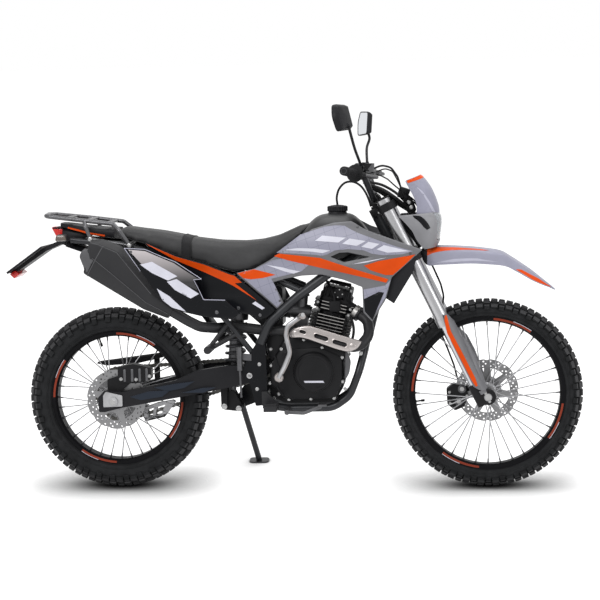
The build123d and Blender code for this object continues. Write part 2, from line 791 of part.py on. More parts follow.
@cache
def subframe():
    """Seat rails, lower stays and the cross tubes that carry seat and tail."""
    shape = None
    for side in (1, -1):
        rail = tube(
            [
                (590, side * RAIL_Y, 780), (440, side * RAIL_Y, 775), (300, side * RAIL_Y, 822),
                (60, side * RAIL_Y, 905), (-150, side * 62, 925),
            ],
            RAIL_R, 120,
        )
        stay_y = side * (PLATE_IN_Y + 8)
        stay = tube(
            [
                (512, stay_y, 514), (412, stay_y, 640), (300, side * (RAIL_Y + 10), 760),
                (120, side * RAIL_Y, 884),
            ],
            10, 120,
        )
        head = rod((590, side * RAIL_Y, 780), (690, side * (MAIN_TUBE_Y - 18), 735), RAIL_R)
        half = rail + stay + head
        shape = half if shape is None else shape + half
    for x, z in ((430, 776), (60, 905), (-140, 924)):
        shape += across(x, z, 9, -RAIL_Y + 6, RAIL_Y - 6)
    gusset = slab([(440, 656), (464, 656), (470, 780), (422, 780)], 17.5, 24)
    shape += gusset + mirrored(gusset) + across(*SHOCK_TOP, SHOCK_BOLT_R, -24, 24)
    return shape - main_frame()


ADJUSTER_THICK = 6


def arm_plan():
    """Outline of the left arm seen from above."""
    inner = ARM_OUT_Y - ARM_THICK
    front_out = ARM_FRONT_Y + 5
    front_in = ARM_FRONT_Y - 14
    run = REAR_AXLE[0] - PIVOT[0]
    outline_shares = [
        (1.139, inner), (1.139, ARM_OUT_Y), (0.761, ARM_OUT_Y), (0.245, front_out),
        (-0.083, front_out), (-0.083, front_in), (0.245, front_in), (0.761, inner),
    ]
    return [(PIVOT[0] + share * run, y) for share, y in outline_shares]


@cache
def swingarm():
    """Two tapered arms, a cross brace ahead of the tyre and the pivot tube."""
    side = along_arm(
        [
            (1.122, -29), (1.107, 24), (1.056, 43), (0.931, 27), (0.546, 31), (0.370, 52),
            (0.147, 48), (-0.028, 27), (-0.064, -5), (-0.007, -28), (0.118, -31), (0.351, -33),
            (0.615, -31), (0.942, -29), (1.081, -33),
        ]
    )
    arm = slab(side, ARM_FRONT_Y - 16, ARM_OUT_Y, 6)
    arm = arm & plan_slab(arm_plan(), 0, 900)
    slot_cut = near_rear_axle([(-26, -12), (-26, 12), (30, 12), (30, -12)])
    arm -= slab(slot_cut, ARM_OUT_Y - 50, ARM_OUT_Y + 30)
    shape = arm + mirrored(arm)
    brace_half = ARM_FRONT_Y - 12
    shape += slab([(347, 400), (347, 440), (388, 446), (388, 400)], -brace_half, brace_half, 5)
    shape += across(*PIVOT, 24, 10 - ARM_FRONT_Y, ARM_FRONT_Y - 10)
    return shape - across(*PIVOT, PIVOT_BOLT_R, -PLATE_OUT_Y, PLATE_OUT_Y)


def arm_hardware():
    """Pivot bolt, and the rear axle with its chain adjusters."""
    bolt = across(*PIVOT, PIVOT_BOLT_R, -PLATE_OUT_Y - 4, PLATE_OUT_Y + 4)
    x, z = REAR_AXLE
    half = ARM_OUT_Y + 12
    axle = across(x, z, AXLE_R, -half, half)
    shape = near_rear_axle([(-38, -21), (-38, 22), (-28, 36), (33, 22), (33, -18)])
    for side in (1, -1):
        inside = side * (ARM_OUT_Y + 0.3)
        outside = side * (ARM_OUT_Y + ADJUSTER_THICK)
        axle += slab(shape, *sorted((inside, outside)), 4)
        axle += across(x, z, 16, *sorted((outside, side * half)))
    return group(bolt, axle)


def tangent_loop(front, rear, front_r, rear_r, y_low, y_high):
    """A belt-shaped plate round two circles in x and z."""
    return link([(*front, front_r), (*rear, rear_r)], y_low, y_high)


@cache
def drive_chain():
    """The chain's outline as one closed loop with a slot for the teeth."""
    pf, pr = pitch_r(FRONT_TEETH), pitch_r(REAR_TEETH)
    y_low = SPROCKET_Y - CHAIN_WIDTH / 2
    y_high = SPROCKET_Y + CHAIN_WIDTH / 2
    h = CHAIN_HALF
    belt = tangent_loop(COUNTERSHAFT, REAR_AXLE, pf + h, pr + h, y_low, y_high)
    belt -= tangent_loop(COUNTERSHAFT, REAR_AXLE, pf - h, pr - h, y_low - 1, y_high + 1)
    over = TOOTH_OVER + 0.4
    return belt - tangent_loop(
        COUNTERSHAFT, REAR_AXLE, pf + over, pr + over, SPROCKET_Y - 3.6, SPROCKET_Y + 3.6
    )


def under_chain(ahead):
    """Height from the rear axle, just under the chain's lower run."""
    reach = COUNTERSHAFT[0] - REAR_AXLE[0]
    rise = COUNTERSHAFT[1] - REAR_AXLE[1]
    wheel_r = pitch_r(REAR_TEETH)
    slope = atan2(rise, reach) + asin((wheel_r - pitch_r(FRONT_TEETH)) / hypot(reach, rise))
    return ahead * tan(slope) - (wheel_r + CHAIN_HALF + 3) / cos(slope)


def chain_guides():
    """Guard over the top run and the guide block on the lower run."""
    inside = SPROCKET_Y + CHAIN_WIDTH / 2 + 2
    outside = ARM_OUT_Y - ARM_THICK - 0.4
    guard = slab(near_rear_axle([(-98, 116), (-90, 126), (150, 160), (155, 150)]), 60, 78, 2)
    strap = slab(near_rear_axle([(120, 30), (120, 153.5), (136, 155.5), (136, 30)]), inside, outside)
    side = near_rear_axle([(81, -104), (77, -52), (129, -34), (189, -24), (158, -86)])
    guide = slab(side, inside, outside - 0.7, 4)
    start, end = under_chain(79), under_chain(156)
    shoe = near_rear_axle([(81, start - 12), (79, start), (156, end), (158, end - 12)])
    guide += slab(shoe, SPROCKET_Y - 6, outside - 0.7)
    tab = near_rear_axle([(120, -46), (120, 14), (160, 14), (160, -36)])
    guide += slab(tab, inside, outside)
    return group(guard + strap, guide - swingarm())


SHOCK_TOP = (452, 668)
SHOCK_LOW = (424, 346)
SHOCK_BOLT_R = 7


SPRING_R = 34
SPRING_TURNS = 8
SPRING_WIRE_R = 6


def rear_shock():
    """Damper with its coil spring, drawn as close rings, and an eye at each end."""
    top = Vector(SHOCK_TOP[0], 0, SHOCK_TOP[1])
    low = Vector(SHOCK_LOW[0], 0, SHOCK_LOW[1])
    length = (low - top).length
    half = (length - 112) / SPRING_TURNS / 2
    edge = [(0, 14), (16, 14), (16, 44), (SPRING_R, 44), (SPRING_R, 54)]
    for turn in range(SPRING_TURNS):
        start = 56 + 2 * half * turn
        edge += [
            (SPRING_R - SPRING_WIRE_R, start), (SPRING_R, start + half * 0.5),
            (SPRING_R, start + half * 1.2), (SPRING_R - SPRING_WIRE_R, start + half * 1.7),
        ]
    end = length - 54
    edge += [(SPRING_R, end), (SPRING_R, end + 8), (12, end + 8), (12, length - 11), (0, length - 11)]
    profile = make_face(Polyline(*[(r, 0, z) for r, z in edge], close=True))
    turned = revolve(profile, Axis.Z)
    body = Plane(origin=tuple(top), z_dir=tuple(low - top)) * turned
    eyes = across(top.X, top.Z, 17, -16, 16) + across(low.X, low.Z, 13, -14, 14)
    hole_r = SHOCK_BOLT_R + PIN_GAP
    holes = across(top.X, top.Z, hole_r, -20, 20) + across(low.X, low.Z, hole_r, -20, 20)
    return body + eyes - holes


def shock_linkage():
    """Bell crank and pull rod under the swingarm."""
    crank = link([(*SHOCK_LOW, 14), (398, 304, 15), (451, 296, 13)], 16, 26)
    crank = crank + mirrored(crank)
    crank += across(398, 304, 9, -44, 44)
    crank += across(451, 296, 9, -44, 44)
    crank += across(*SHOCK_LOW, SHOCK_BOLT_R, -26, 26)
    pull = link([(398, 304, 11), (397, 376, 12)], 36, 46)
    pull = pull + mirrored(pull)
    return crank + pull


def crankcase():
    side = [
        (590, 505), (572, 470), (572, 352), (622, 322), (806, 322), (838, 375), (852, 470),
        (838, 528), (700, 528), (640, 540),
    ]
    shape = slab(side, -72, 72, 14)
    left = hull_of_circles([(724, 430, 74), (600, 430, 40)])
    shape += extrude(Pos(0, 106, 0) * left, 35)
    shape -= slab([(540, 380), (540, 500), (610, 500), (610, 380)], 58, 120)
    shape += across(*COUNTERSHAFT, 12, 50, 64)
    teeth = Pos(COUNTERSHAFT[0], 0, COUNTERSHAFT[1]) * sprocket(FRONT_TEETH, 1, 6.4)
    return shape + teeth + across(*COUNTERSHAFT, 12, 60, 76)


COVER_OUT_Y = 104
COVER_BOLTS = [
    (618, 524), (578, 462), (572, 398), (604, 356), (640, 334), (722, 336), (806, 338), (842, 402),
    (842, 490), (766, 530),
]


def clutch_cover():
    side = [
        (614, 520), (580, 470), (574, 395), (631, 336), (812, 340), (838, 402), (838, 494),
        (760, 530),
    ]
    shape = slab(side, -COVER_OUT_Y, -72.3, 16)
    shape = chamfer(shape.faces().sort_by(Axis.Y)[0].edges(), 6)
    for x, z in COVER_BOLTS:
        shape += across(x, z, 9, -COVER_OUT_Y + 4, -72.3)
    lid = across(735, 438, 72, -COVER_OUT_Y - 14, -COVER_OUT_Y)
    lid += across(735, 438, 62, -COVER_OUT_Y - 20, -COVER_OUT_Y - 14)
    return shape + chamfer(lid.faces().sort_by(Axis.Y)[0].edges(), 3)


CYLINDER = Pos(CYLINDER_BASE[0], 0, CYLINDER_BASE[1]) * Rot(Y=CYLINDER_TILT)
FINS = 9
FIN_PITCH = 12
FIN_THICK = 3.5


def rounded_block(x_size, y_size, z_low, z_high, corner):
    face = RectangleRounded(x_size, y_size, corner)
    return extrude(Pos(0, 0, z_low) * face, z_high - z_low)


@cache
def cylinder():
    barrel = rounded_block(104, 104, 8, 132, 30)
    for i in range(FINS):
        z = 20 + FIN_PITCH * i
        barrel += rounded_block(156, 150, z, z + FIN_THICK, 18)
    return CYLINDER * barrel - crankcase_top()


def crankcase_top():
    return slab([(600, 400), (600, 528.3), (900, 528.3), (900, 400)], -140, 140)


@cache
def cylinder_head():
    head = rounded_block(120, 116, 132.3, 196, 20)
    for z in (140, 152, 164):
        head += rounded_block(150, 146, z, z + FIN_THICK, 18)
    head += rounded_block(110, 118, 180, 228, 14)
    for side in (-1, 1):
        for y in (16, 32, 48):
            head += Pos(0, side * y, 232) * Box(86, 4, 14)
        for step in range(-3, 4):
            head += Pos(14 * step, side * 62, 205) * Box(4, 10, 44)
    port = rod((850, -26, 673), HEADER_PATH[0], 24)
    barrel_space = CYLINDER * rounded_block(158, 152, 0, 132.3, 18)
    return CYLINDER * head + (port - barrel_space)


def carburettor():
    """Inlet stub, carburettor body with float bowl, and the boot to the airbox."""
    stub = rod((742, 0, 640), (700, 0, 648), 22)
    body = rod((716, 0, 645), (650, 0, 654), 27)
    bowl = Pos(684, 0, 606) * Box(52, 50, 50)
    cap = rod((684, 0, 650), (690, 0, 704), 21)
    boot = rod((652, 0, 654), (622, 0, 662), 32)
    lift = CYLINDER * rounded_block(158, 152, 10, 200, 18)
    return stub + body + bowl + cap + boot - lift


def airbox():
    side = [(492, 650), (492, 762), (560, 768), (622, 740), (622, 600), (560, 590)]
    return slab(side, -54, 54, 12) - rod((700, 0, 642), (610, 0, 664), 32.2)


HEADER_PATH = [
    (896, -42, 642), (930, -54, 619), (938, -86, 568), (896, -118, 524), (800, -124, 552),
    (700, -120, 580), (636, -84, 588), (560, -75, 588), (440, -73, 604), (384, -92, 600),
    (330, -138, 610), (284, -148, 636), (220, -148, 675.2),
]


@cache
def exhaust_header():
    start = Vector(*HEADER_PATH[0])
    ahead = (Vector(*HEADER_PATH[1]) - start).normalized()
    flange = rod(tuple(start), tuple(start + ahead * 7), 28)
    return tube(HEADER_PATH, PIPE_R, 60) + flange - cylinder_head() - cylinder()


def heat_shield():
    side = [
        (652, 592), (668, 606), (726, 616), (750, 610), (915, 556), (902, 530), (862, 512),
        (824, 520), (722, 558), (692, 562), (656, 560),
    ]
    plate = slab(side, -150, -147, 4)
    for x, z in ((860, 536), (794, 556), (728, 576)):
        plate -= Pos(x, -148, z) * Rot(Y=17) * Rot(X=90) * extrude(SlotOverall(48, 18), 20, both=True)
    for x, z in ((880, 534), (690, 583)):
        plate += across(x, z, 7, -148, -132)
    return plate - exhaust_header()


MUFFLER_DROP = 31.5
MUFFLER_REAR = (-62, 848)


@cache
def muffler():
    """Faceted silencer rising to the rear on the right, with its end cap."""
    c, s = cos(radians(MUFFLER_DROP)), sin(radians(MUFFLER_DROP))
    base = Plane(origin=(MUFFLER_REAR[0], -148, MUFFLER_REAR[1]), x_dir=(s, 0, c), z_dir=(c, 0, -s))

    def section(at, top, chamfer, ridge, bottom, out=40, inn=38):
        """Square to the axis: heights of the facets' edges, then the reach out and in."""
        low, high = bottom + (top - bottom) * 0.2, bottom + (top - bottom) * 0.8
        pts = [
            (top, 2), (top, out * 0.35), (chamfer, out), (ridge, out * 0.96),
            (bottom, out * 0.4), (bottom, 18 - inn), (low, -inn), (high, -inn),
        ]
        return base * (Pos(0, 0, at) * make_face(Polyline(*pts, close=True)))

    full = section(0, 100, 78, 25, -46)
    waist = section(85, 95, 80, 12, -46, 41)
    neck = section(255, 50, 20, -16, -46, 40, 36)
    shape = loft([section(-34, 76, 66, 56, 46, 36, 34), full], ruled=True)
    shape += loft([full, waist], ruled=True) + loft([waist, neck], ruled=True)
    shape += loft([neck, section(345, 24, 12, -12, -30, 24, 26)], ruled=True)
    cap = [section(-45, 30, 24, 10, 2, 24, 18), section(-18, 48, 36, 6, -22, 30, 26)]
    cap.append(section(6, 50, 38, 0, -42, 36, 32))
    shape += loft(cap[:2], ruled=True) + loft(cap[1:], ruled=True)
    return shape - tube(HEADER_PATH, PIPE_R, 60)


NUMBER_PANEL = [
    (72, 901), (147, 896), (212, 866), (257, 849), (348, 788), (322, 786), (354, 714), (431, 711),
    (483, 664), (454, 643), (359, 651), (248, 679), (187, 731),
]


def number_panel():
    """Plate over the muffler, on two stand-off feet."""
    plate = slab(NUMBER_PANEL, -198, -194, 6)
    for x, z in ((200, 737), (232, 704)):
        plate += across(x, z, 8, -196, -146)
    return plate - muffler()


@cache
def tank_solid():
    side = [
        (640, 872), (700, 950), (735, 990), (773, 1008), (880, 1006), (926, 957), (944, 926),
        (900, 880), (852, 846), (700, 836), (640, 846),
    ]
    shape = slab(side, -140, 140, 8)
    plan = [
        (640, -92), (700, -118), (790, -132), (860, -120), (914, -70), (948, -38),
        (948, 38), (914, 70), (860, 120), (790, 132), (700, 118), (640, 92),
    ]
    shape = shape & plan_slab(plan, 800, 1040, 14)
    return shape


def fuel_tank():
    shape = tank_solid()
    for side in (1, -1):
        shape -= tube(main_tube_path(side), FRAME_TUBE_R + 1, 120)
    neck = Pos(824, 0, 1010) * Cylinder(24, 12)
    return shape + neck


def fuel_cap():
    cap = Pos(822, 0, 1025) * Cylinder(32, 17)
    cap += Pos(822, 0, 1034) * Cylinder(9, 8)
    return cap - Pos(822, 0, 1008) * Cylinder(24.3, 20)


VENT_HOSE_R = 4
VENT_HOSE = [
    (822, 0, 1038), (822, 0, 1064), (831, 0, 1094), (853, 0, 1116), (882, 0, 1119),
    (908, 0, 1105), (926, 0, 1081), (938, 0, 1054), (946.6, 0, 1026.2),
]


def seat_side():
    return [
        (736, 992), (671, 959), (610, 932), (549, 918), (487, 913), (396, 916), (304, 927),
        (242, 942), (96, 965), (53, 972), (27, 970), (40, 930), (131, 915), (243, 868), (349, 839),
        (438, 806), (463, 803), (523, 815), (578, 842), (622, 871), (700, 940),
    ]


@cache
def seat():
    shape = slab(seat_side(), -118, 118)
    plan = [
        (745, -72), (640, -92), (540, -112), (400, -116), (240, -114), (100, -108), (20, -96),
        (20, 96), (100, 108), (240, 114), (400, 116), (540, 112), (640, 92), (745, 72),
    ]
    shape = shape & plan_slab(plan, 780, 1010, 10)
    return shape - tank_solid() - seat_base_space()


def seat_base_space():
    """Room under the cover for the seat base, rails and airbox."""
    return slab([(30, 780), (30, 932), (130, 898), (300, 850), (440, 800), (620, 800), (620, 780)], -92, 92)


SHROUD_OUTLINE = [
    (1133, 880), (934, 953), (882, 983), (817, 978), (740, 956), (627, 875), (584, 846),
    (530, 817), (470, 803), (461, 799), (608, 669), (633, 692), (596, 766), (773, 794),
    (919, 750), (921, 660), (952, 627), (1001, 704), (1024, 784),
]
SHROUD_LINE = [
    (440, -121), (560, -128), (700, -144), (820, -162), (930, -176), (1030, -181), (1140, -172),
]
VENT_OUTLINE = [(803, 858), (848, 876), (956, 856), (855, 837)]


@cache
def shroud_right():
    shape = ribbon(SHROUD_LINE, PANEL_WALL, 600, 1000) & slab(SHROUD_OUTLINE, -240, -80)
    shape -= slab(VENT_OUTLINE, -240, -80)
    bosses = across(760, 920, 9, -152, -110) + across(690, 862, 9, -142, -100)
    return shape + (bosses - tank_solid())


SCOOP_OUTLINE = [(996, 712), (1008, 796), (1100, 872), (1112, 852), (1098, 800), (1030, 690)]


def scoops():
    """Dark inner ducts behind the shrouds' front edges."""
    line = [(930, -146), (1000, -158), (1060, -168), (1125, -173)]
    shape = ribbon(line, 3, 600, 1000) & slab(SCOOP_OUTLINE, -240, -80)
    return both_sides(shape - shroud_right())


SIDE_PANEL_OUTLINE = [
    (131, 913), (243, 865), (349, 836), (440, 801), (456, 797), (604, 667), (560, 632), (520, 648),
    (452, 672), (392, 706), (250, 800), (150, 872),
]


def side_panels():
    line = [(120, -112), (240, -118), (400, -124), (520, -132), (620, -142)]
    shape = ribbon(line, PANEL_WALL, 600, 940) & slab(SIDE_PANEL_OUTLINE, -240, -80)
    bosses = across(300, 760, 8, -119, -88) + across(440, 775, 8, -123, -80)
    return both_sides(shape + (bosses - subframe() - seat()))


@cache
def rear_fender():
    """Tail cowl under the rack and the blade over the rear tyre."""
    side = [
        (14, 968), (-60, 972), (-150, 984), (-192, 990), (-196, 968), (-188, 930), (-90, 938),
        (14, 926),
    ]
    cowl = slab(side, -96, 96)
    plan = [(14, -92), (-100, -80), (-196, -48), (-196, 48), (-100, 80), (14, 92)]
    cowl = cowl & plan_slab(plan, 900, 1010, 8)
    under = Spline((-174, 922), (-60, 880), (120, 800), (300, 700), (372, 600))
    lower = Spline((-175, 917), (-62, 875), (117, 795), (295, 697), (366, 599))
    ends = [Line(under @ 0, lower @ 0), Line(under @ 1, lower @ 1)]
    blade = extrude(Pos(0, 66, 0) * (Plane.XZ * make_face([under, lower, *ends])), 132)
    post = slab([(-176, 919), (-176, 932), (-120, 935), (-120, 900)], -40, 40)
    return cowl + post + blade - subframe() - luggage_rack()


def tail_light():
    return slab([(-228, 940), (-224, 972), (-184, 966), (-184, 937)], -42, 42, 4) - rear_fender()


PLATE_MIDDLE = (-324, 858.5)   # on the outer face
PLATE_NORMAL = (-0.576, 0, 0.817)
PLATE_BOLT_SPACING = 145
PLATE_HOLE_R = 3.5


def plate_holder():
    """Slanted arm under the tail with a blank plate and a reflector."""
    arm = slab(
        [
            (-176, 922), (-196, 925), (-254, 900), (-386, 806.5), (-378, 799), (-250, 885),
            (-190, 910), (-176, 905),
        ],
        -46, 46,
    )
    plate = slab([(-254, 899), (-258, 905), (-390, 812), (-386, 806)], -90, 90)
    holes = []
    for side in (1, -1):
        middle = Vector(PLATE_MIDDLE[0], side * PLATE_BOLT_SPACING / 2, PLATE_MIDDLE[1])
        out = Vector(*PLATE_NORMAL) * 20
        holes.append(rod(tuple(middle - out), tuple(middle + out), PLATE_HOLE_R))
    return arm + plate - holes


SIGNAL_Y = 140


def rear_lights():
    """Tail lamp and the rear pair of signal lamps on their stalks."""
    pieces = [tail_light()]
    for side in (1, -1):
        stalk = rod((-176, side * 46, 930), (-180, side * 118, 932), 6)
        case = [(-206, 922), (-200, 952), (-168, 952), (-162, 922)]
        lamp = slab(case, side * SIGNAL_Y - 24, side * SIGNAL_Y + 24, 9)
        pieces.append(stalk + lamp - rear_fender())
    return pieces


@cache
def luggage_rack():
    """Tube carrier behind the seat: two rails that turn down to the front feet."""
    r = 8
    foot = RACK_FOOT_Y
    rail = tube(
        [(76, foot, 906), (40, foot, 960), (14, 98, 984), (-120, 98, 1001), (-238, 78, 1015),
         (-246, 0, 1018)],
        r,
        18,
    )
    shape = rail + mirrored(rail)
    for x, z in ((-10, 987), (-84, 997), (-160, 1006)):
        shape += rod((x, -94, z), (x, 94, z), 6)
    for side in (1, -1):
        y = side * foot
        shape += tube([(-92, side * 98, 998), (-84, y, 975), (-66, y, 931)], r - 1, 14)
        shape += rod((-66, y, 931), (76, y, 906), r - 2)
        for x, z in ((-66, 931), (76, 906)):
            low, high = sorted((side * 70, side * (foot + 9)))
            shape += across(x, z, 9, low, high)
    return shape - subframe() - muffler()


PEG_OUT_Y = 225


def foot_pegs():
    """Rider's folding pegs and the passenger pegs on their hangers."""

    def rider(side):
        middle = (PLATE_OUT_Y + 0.3 + PEG_OUT_Y) / 2
        peg = Pos(586, side * middle, 322) * Box(46, PEG_OUT_Y - PLATE_OUT_Y - 8, 20)
        for y in (140, 158, 176, 194, 212):
            peg += Pos(586, side * y, 335) * Box(46, 4, 8)
        plate = [(548, 322), (548, 372), (566, 372), (604, 330), (604, 312)]
        near, far = side * (PLATE_OUT_Y + 0.3), side * (PLATE_OUT_Y + 14)
        return peg + slab(plate, *sorted((near, far)))

    def passenger(side):
        start_y = side * (PLATE_IN_Y + 8)
        hanger = rod((428, start_y, 620), (366, side * 128, 540), 8)
        hanger += rod((460, start_y, 580), (366, side * 128, 530), 8)
        peg = rod((366, side * 126, 534), (366, side * 215, 534), 14)
        return hanger + peg - subframe()

    return group(rider(1), rider(-1), passenger(1), passenger(-1))


def foot_controls():
    """Gear lever on the left, brake pedal and its master cylinder on the right."""
    gear = across(632, 352, 8, 72.3, 134)
    gear += tube([(632, 128, 352), (690, 136, 344), (748, 140, 356)], 6.5, 30)
    gear += across(748, 356, 8, 132, 176)
    brake = across(640, 300, 9, -160, -CRADLE_Y - FRAME_TUBE_R + 2)
    brake += tube([(640, -150, 300), (700, -146, 296), (762, -134, 318)], 7, 30)
    brake += Pos(768, -140, 324) * Box(30, 40, 8)
    y = -PLATE_OUT_Y - 14
    master = rod((470, y, 536), (470, y, 450), 10) + rod((470, y, 460), (474, y, 352), 4)
    master += slab([(460, 488), (460, 512), (512, 508), (512, 484)], y + 8, -PLATE_OUT_Y - 0.05)
    return group(gear, brake, master)


def kick_starter():
    hub_bar = across(612, 425, 14, -150, -COVER_OUT_Y - 0.4)
    path = [
        (612, -150, 425), (632, -156, 462), (655, -160, 516), (642, -160, 578), (646, -160, 612),
        (700, -160, 650),
    ]
    return hub_bar + tube(path, 8, 30) + rod((690, -160, 643), (708, -196, 656), 8)


def rear_brake_caliper():
    """Caliper over the disc on a bracket that the axle holds."""
    y = REAR_DISC_Y
    shape = near_rear_axle([(12, 64), (12, 122), (70, 134), (136, 118), (136, 76), (80, 62)])
    body = slab(shape, y - 22, y + 18, 9)
    body -= across(*REAR_AXLE, REAR_DISC_R + 6, y - 7.5, y + 7.5)
    arm = near_rear_axle([(-28, 34), (-28, 76), (14, 89), (60, 94), (60, 64), (30, 39)])
    eye = near_rear_axle([(-16, -6), (-28, 36), (30, 40), (18, -6)])
    bracket = slab(arm, y - 17.5, y - 10) + slab(eye, y - 17.5, y - 10)
    bracket -= across(*REAR_AXLE, AXLE_R, -200, 200)
    return body + bracket


# ---- side stand ------------------------------------------------------------------
def stand_ground_z(y):
    return y * tan(radians(LEAN))


def side_stand():
    """Leg with a pivot eye at the frame's bracket and a flat foot on the floor."""
    fx, fy = STAND_FOOT
    leg = rod(STAND_PIVOT, (fx, fy, stand_ground_z(fy) + 2), STAND_R)
    eye = along_stand_axis(-STAND_EYE / 2, STAND_EYE / 2, 17)
    inner = along_stand_axis(-40, -STAND_EYE / 2, 30)
    bore = along_stand_axis(-30, 30, STAND_PIN_R + PIN_GAP)
    pad = Box(74, 50, 5)
    pad = fillet(pad.edges().filter_by(Axis.Z), 14)
    on_floor = Pos(fx, fy, stand_ground_z(fy)) * Rot(X=LEAN) * Pos(0, 0, 2.5 - crown_lift())
    pad = on_floor * pad
    floor = on_floor * Pos(0, 0, -60) * Box(200, 200, 120)
    return (leg - inner - floor) + eye - bore + pad


def crown_lift():
    """How far the lean lowers the round tyre crowns into the floor."""
    return (FRONT_CROWN_R + REAR_CROWN_R) / 2 * (1 - cos(radians(LEAN)))


def at_front(shape):
    return Pos(AXLE[0], 0, AXLE[1]) * shape


def at_rear(shape):
    return Pos(REAR_AXLE[0], 0, REAR_AXLE[1]) * shape


def build():
    nodes = {
        "main_frame": main_frame(),
        "engine_cradle": engine_cradle(),
        "subframe": subframe(),
        "swingarm": swingarm(),
        "arm_hardware": arm_hardware(),
        "drive_chain": drive_chain(),
        "chain_guides": chain_guides(),
        "rear_shock": rear_shock(),
        "shock_linkage": shock_linkage(),
        "crankcase": crankcase(),
        "clutch_cover": clutch_cover(),
        "cylinder": cylinder(),
        "cylinder_head": cylinder_head(),
        "carburettor": carburettor(),
        "airbox": airbox(),
        "exhaust_header": exhaust_header(),
        "heat_shield": heat_shield(),
        "muffler": muffler(),
        "number_panel": number_panel(),
        "fuel_tank": fuel_tank(),
        "fuel_cap": fuel_cap(),
        "tank_vent_hose": tube(VENT_HOSE, VENT_HOSE_R, 60),
        "seat": seat(),
        "shrouds": both_sides(shroud_right()),
        "shroud_ducts": scoops(),
        "side_panels": side_panels(),
        "rear_fender": rear_fender(),
        "rear_lights": group(*rear_lights()),
        "plate_holder": plate_holder(),
        "luggage_rack": luggage_rack(),
        "foot_pegs": foot_pegs(),
        "foot_controls": foot_controls(),
        "kick_starter": kick_starter(),
        "rear_brake_caliper": rear_brake_caliper(),
        "triple_clamps": triple_clamps(),
        "fork_outer_tubes": fork_outer_tubes(),
        "fork_legs": fork_legs(),
        "fork_guards": fork_guards(),
        "front_axle": front_axle(),
        "handlebar": handlebar(),
        "grips": grips(),
        "hand_controls": hand_controls(),
        "mirrors": mirrors(),
        "instrument": instrument(),
        "headlight_mask": headlight_mask(),
        "headlight": headlight(),
        "front_brake_hose": front_brake_hose(),
        "control_cables": control_cables(),
        "front_fender": front_fender(),
        "front_brake_caliper": front_brake_caliper(),
        "side_stand": side_stand(),
    }
    nodes.update({name: at_front(s) for name, s in front_wheel_pieces().items()})
    nodes.update({name: at_rear(s) for name, s in rear_wheel_pieces().items()})
    return nodes


def lean_place(nodes):
    """Location that leans the machine and puts the origin under its box."""
    leaned = Rot(X=-LEAN)
    boxes = [(leaned * shape).bounding_box(optimal=True) for shape in nodes.values()]
    low_x = min(b.min.X for b in boxes)
    high_x = max(b.max.X for b in boxes)
    low_y = min(b.min.Y for b in boxes)
    high_y = max(b.max.Y for b in boxes)
    low_z = min(b.min.Z for b in boxes)
    return Pos(-(low_x + high_x) / 2, -(low_y + high_y) / 2, -low_z) * leaned


def export(nodes, place):
    os.makedirs("parts", exist_ok=True)
    for name, shape in nodes.items():
        solids = (place * shape).solids()
        whole = solids[0] if len(solids) == 1 else Compound(children=list(solids))
        export_step(whole, f"parts/{name}.step")


NODES = build()
PLACE = lean_place(NODES)

if __name__ == "__main__":
    export(NODES, PLACE)
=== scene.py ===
import json
from math import atan2, ceil, cos, hypot, pi, radians, sin, sqrt

import bmesh
import bpy
import numpy as np
from mathutils import Matrix, Vector
from mathutils.geometry import delaunay_2d_cdt


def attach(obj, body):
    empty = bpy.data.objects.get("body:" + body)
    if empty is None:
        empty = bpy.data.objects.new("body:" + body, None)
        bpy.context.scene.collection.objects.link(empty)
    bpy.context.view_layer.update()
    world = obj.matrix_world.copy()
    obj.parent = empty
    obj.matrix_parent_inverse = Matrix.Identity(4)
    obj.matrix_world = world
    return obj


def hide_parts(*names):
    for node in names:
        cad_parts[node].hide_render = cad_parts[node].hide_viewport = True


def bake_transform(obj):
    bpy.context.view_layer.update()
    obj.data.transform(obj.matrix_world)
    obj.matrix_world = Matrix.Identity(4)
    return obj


# The looks of a trail motorcycle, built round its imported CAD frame.
# Sizes and places are millimetres on the upright machine: x forward from the
# rear axle, y to the left, z up.  PLACE leans it onto its side stand, in metres.

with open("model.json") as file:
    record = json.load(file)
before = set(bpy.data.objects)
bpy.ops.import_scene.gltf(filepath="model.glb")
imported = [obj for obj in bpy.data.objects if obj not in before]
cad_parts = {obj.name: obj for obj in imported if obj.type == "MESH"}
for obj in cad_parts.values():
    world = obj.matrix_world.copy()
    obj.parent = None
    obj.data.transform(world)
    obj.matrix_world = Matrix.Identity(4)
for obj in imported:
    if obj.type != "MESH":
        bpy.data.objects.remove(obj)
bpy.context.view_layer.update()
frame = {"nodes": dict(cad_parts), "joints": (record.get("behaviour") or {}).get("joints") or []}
nodes = frame["nodes"]
joints = {joint["name"]: joint for joint in frame["joints"]}

MM = 0.001
REAR_R = 336
FRONT_R = 345
WHEELBASE = 1360
REAR_AXLE = (0, REAR_R)
FRONT_AXLE = (WHEELBASE, FRONT_R)
RAKE = radians(25.7)
STEER_FOOT = (1301.43, 316.81)  # a point of the steering axis, in x and z
AXLE_LEAD = 65  # front axle, forward of the steering axis
LEG_LEAD = 42  # fork legs, forward of the steering axis
LEG_Y = 97
AXLE_UP = (FRONT_R - STEER_FOOT[1] - AXLE_LEAD * sin(RAKE)) / cos(RAKE)
BOTH = (-1, 1)
RIGHT = (-1,)
LEFT = (1,)

rear_pin = joints["rear_wheel_spin"]
across_axis = Vector(rear_pin["axis"])
LEAN = atan2(-across_axis.z, across_axis.y)
PLACE = (
    Matrix.Translation(Vector(rear_pin["pos_m"]))
    @ Matrix.Rotation(-LEAN, 4, "X")
    @ Matrix.Translation((0, 0, -REAR_R * MM))
)
UPRIGHT = PLACE.inverted()


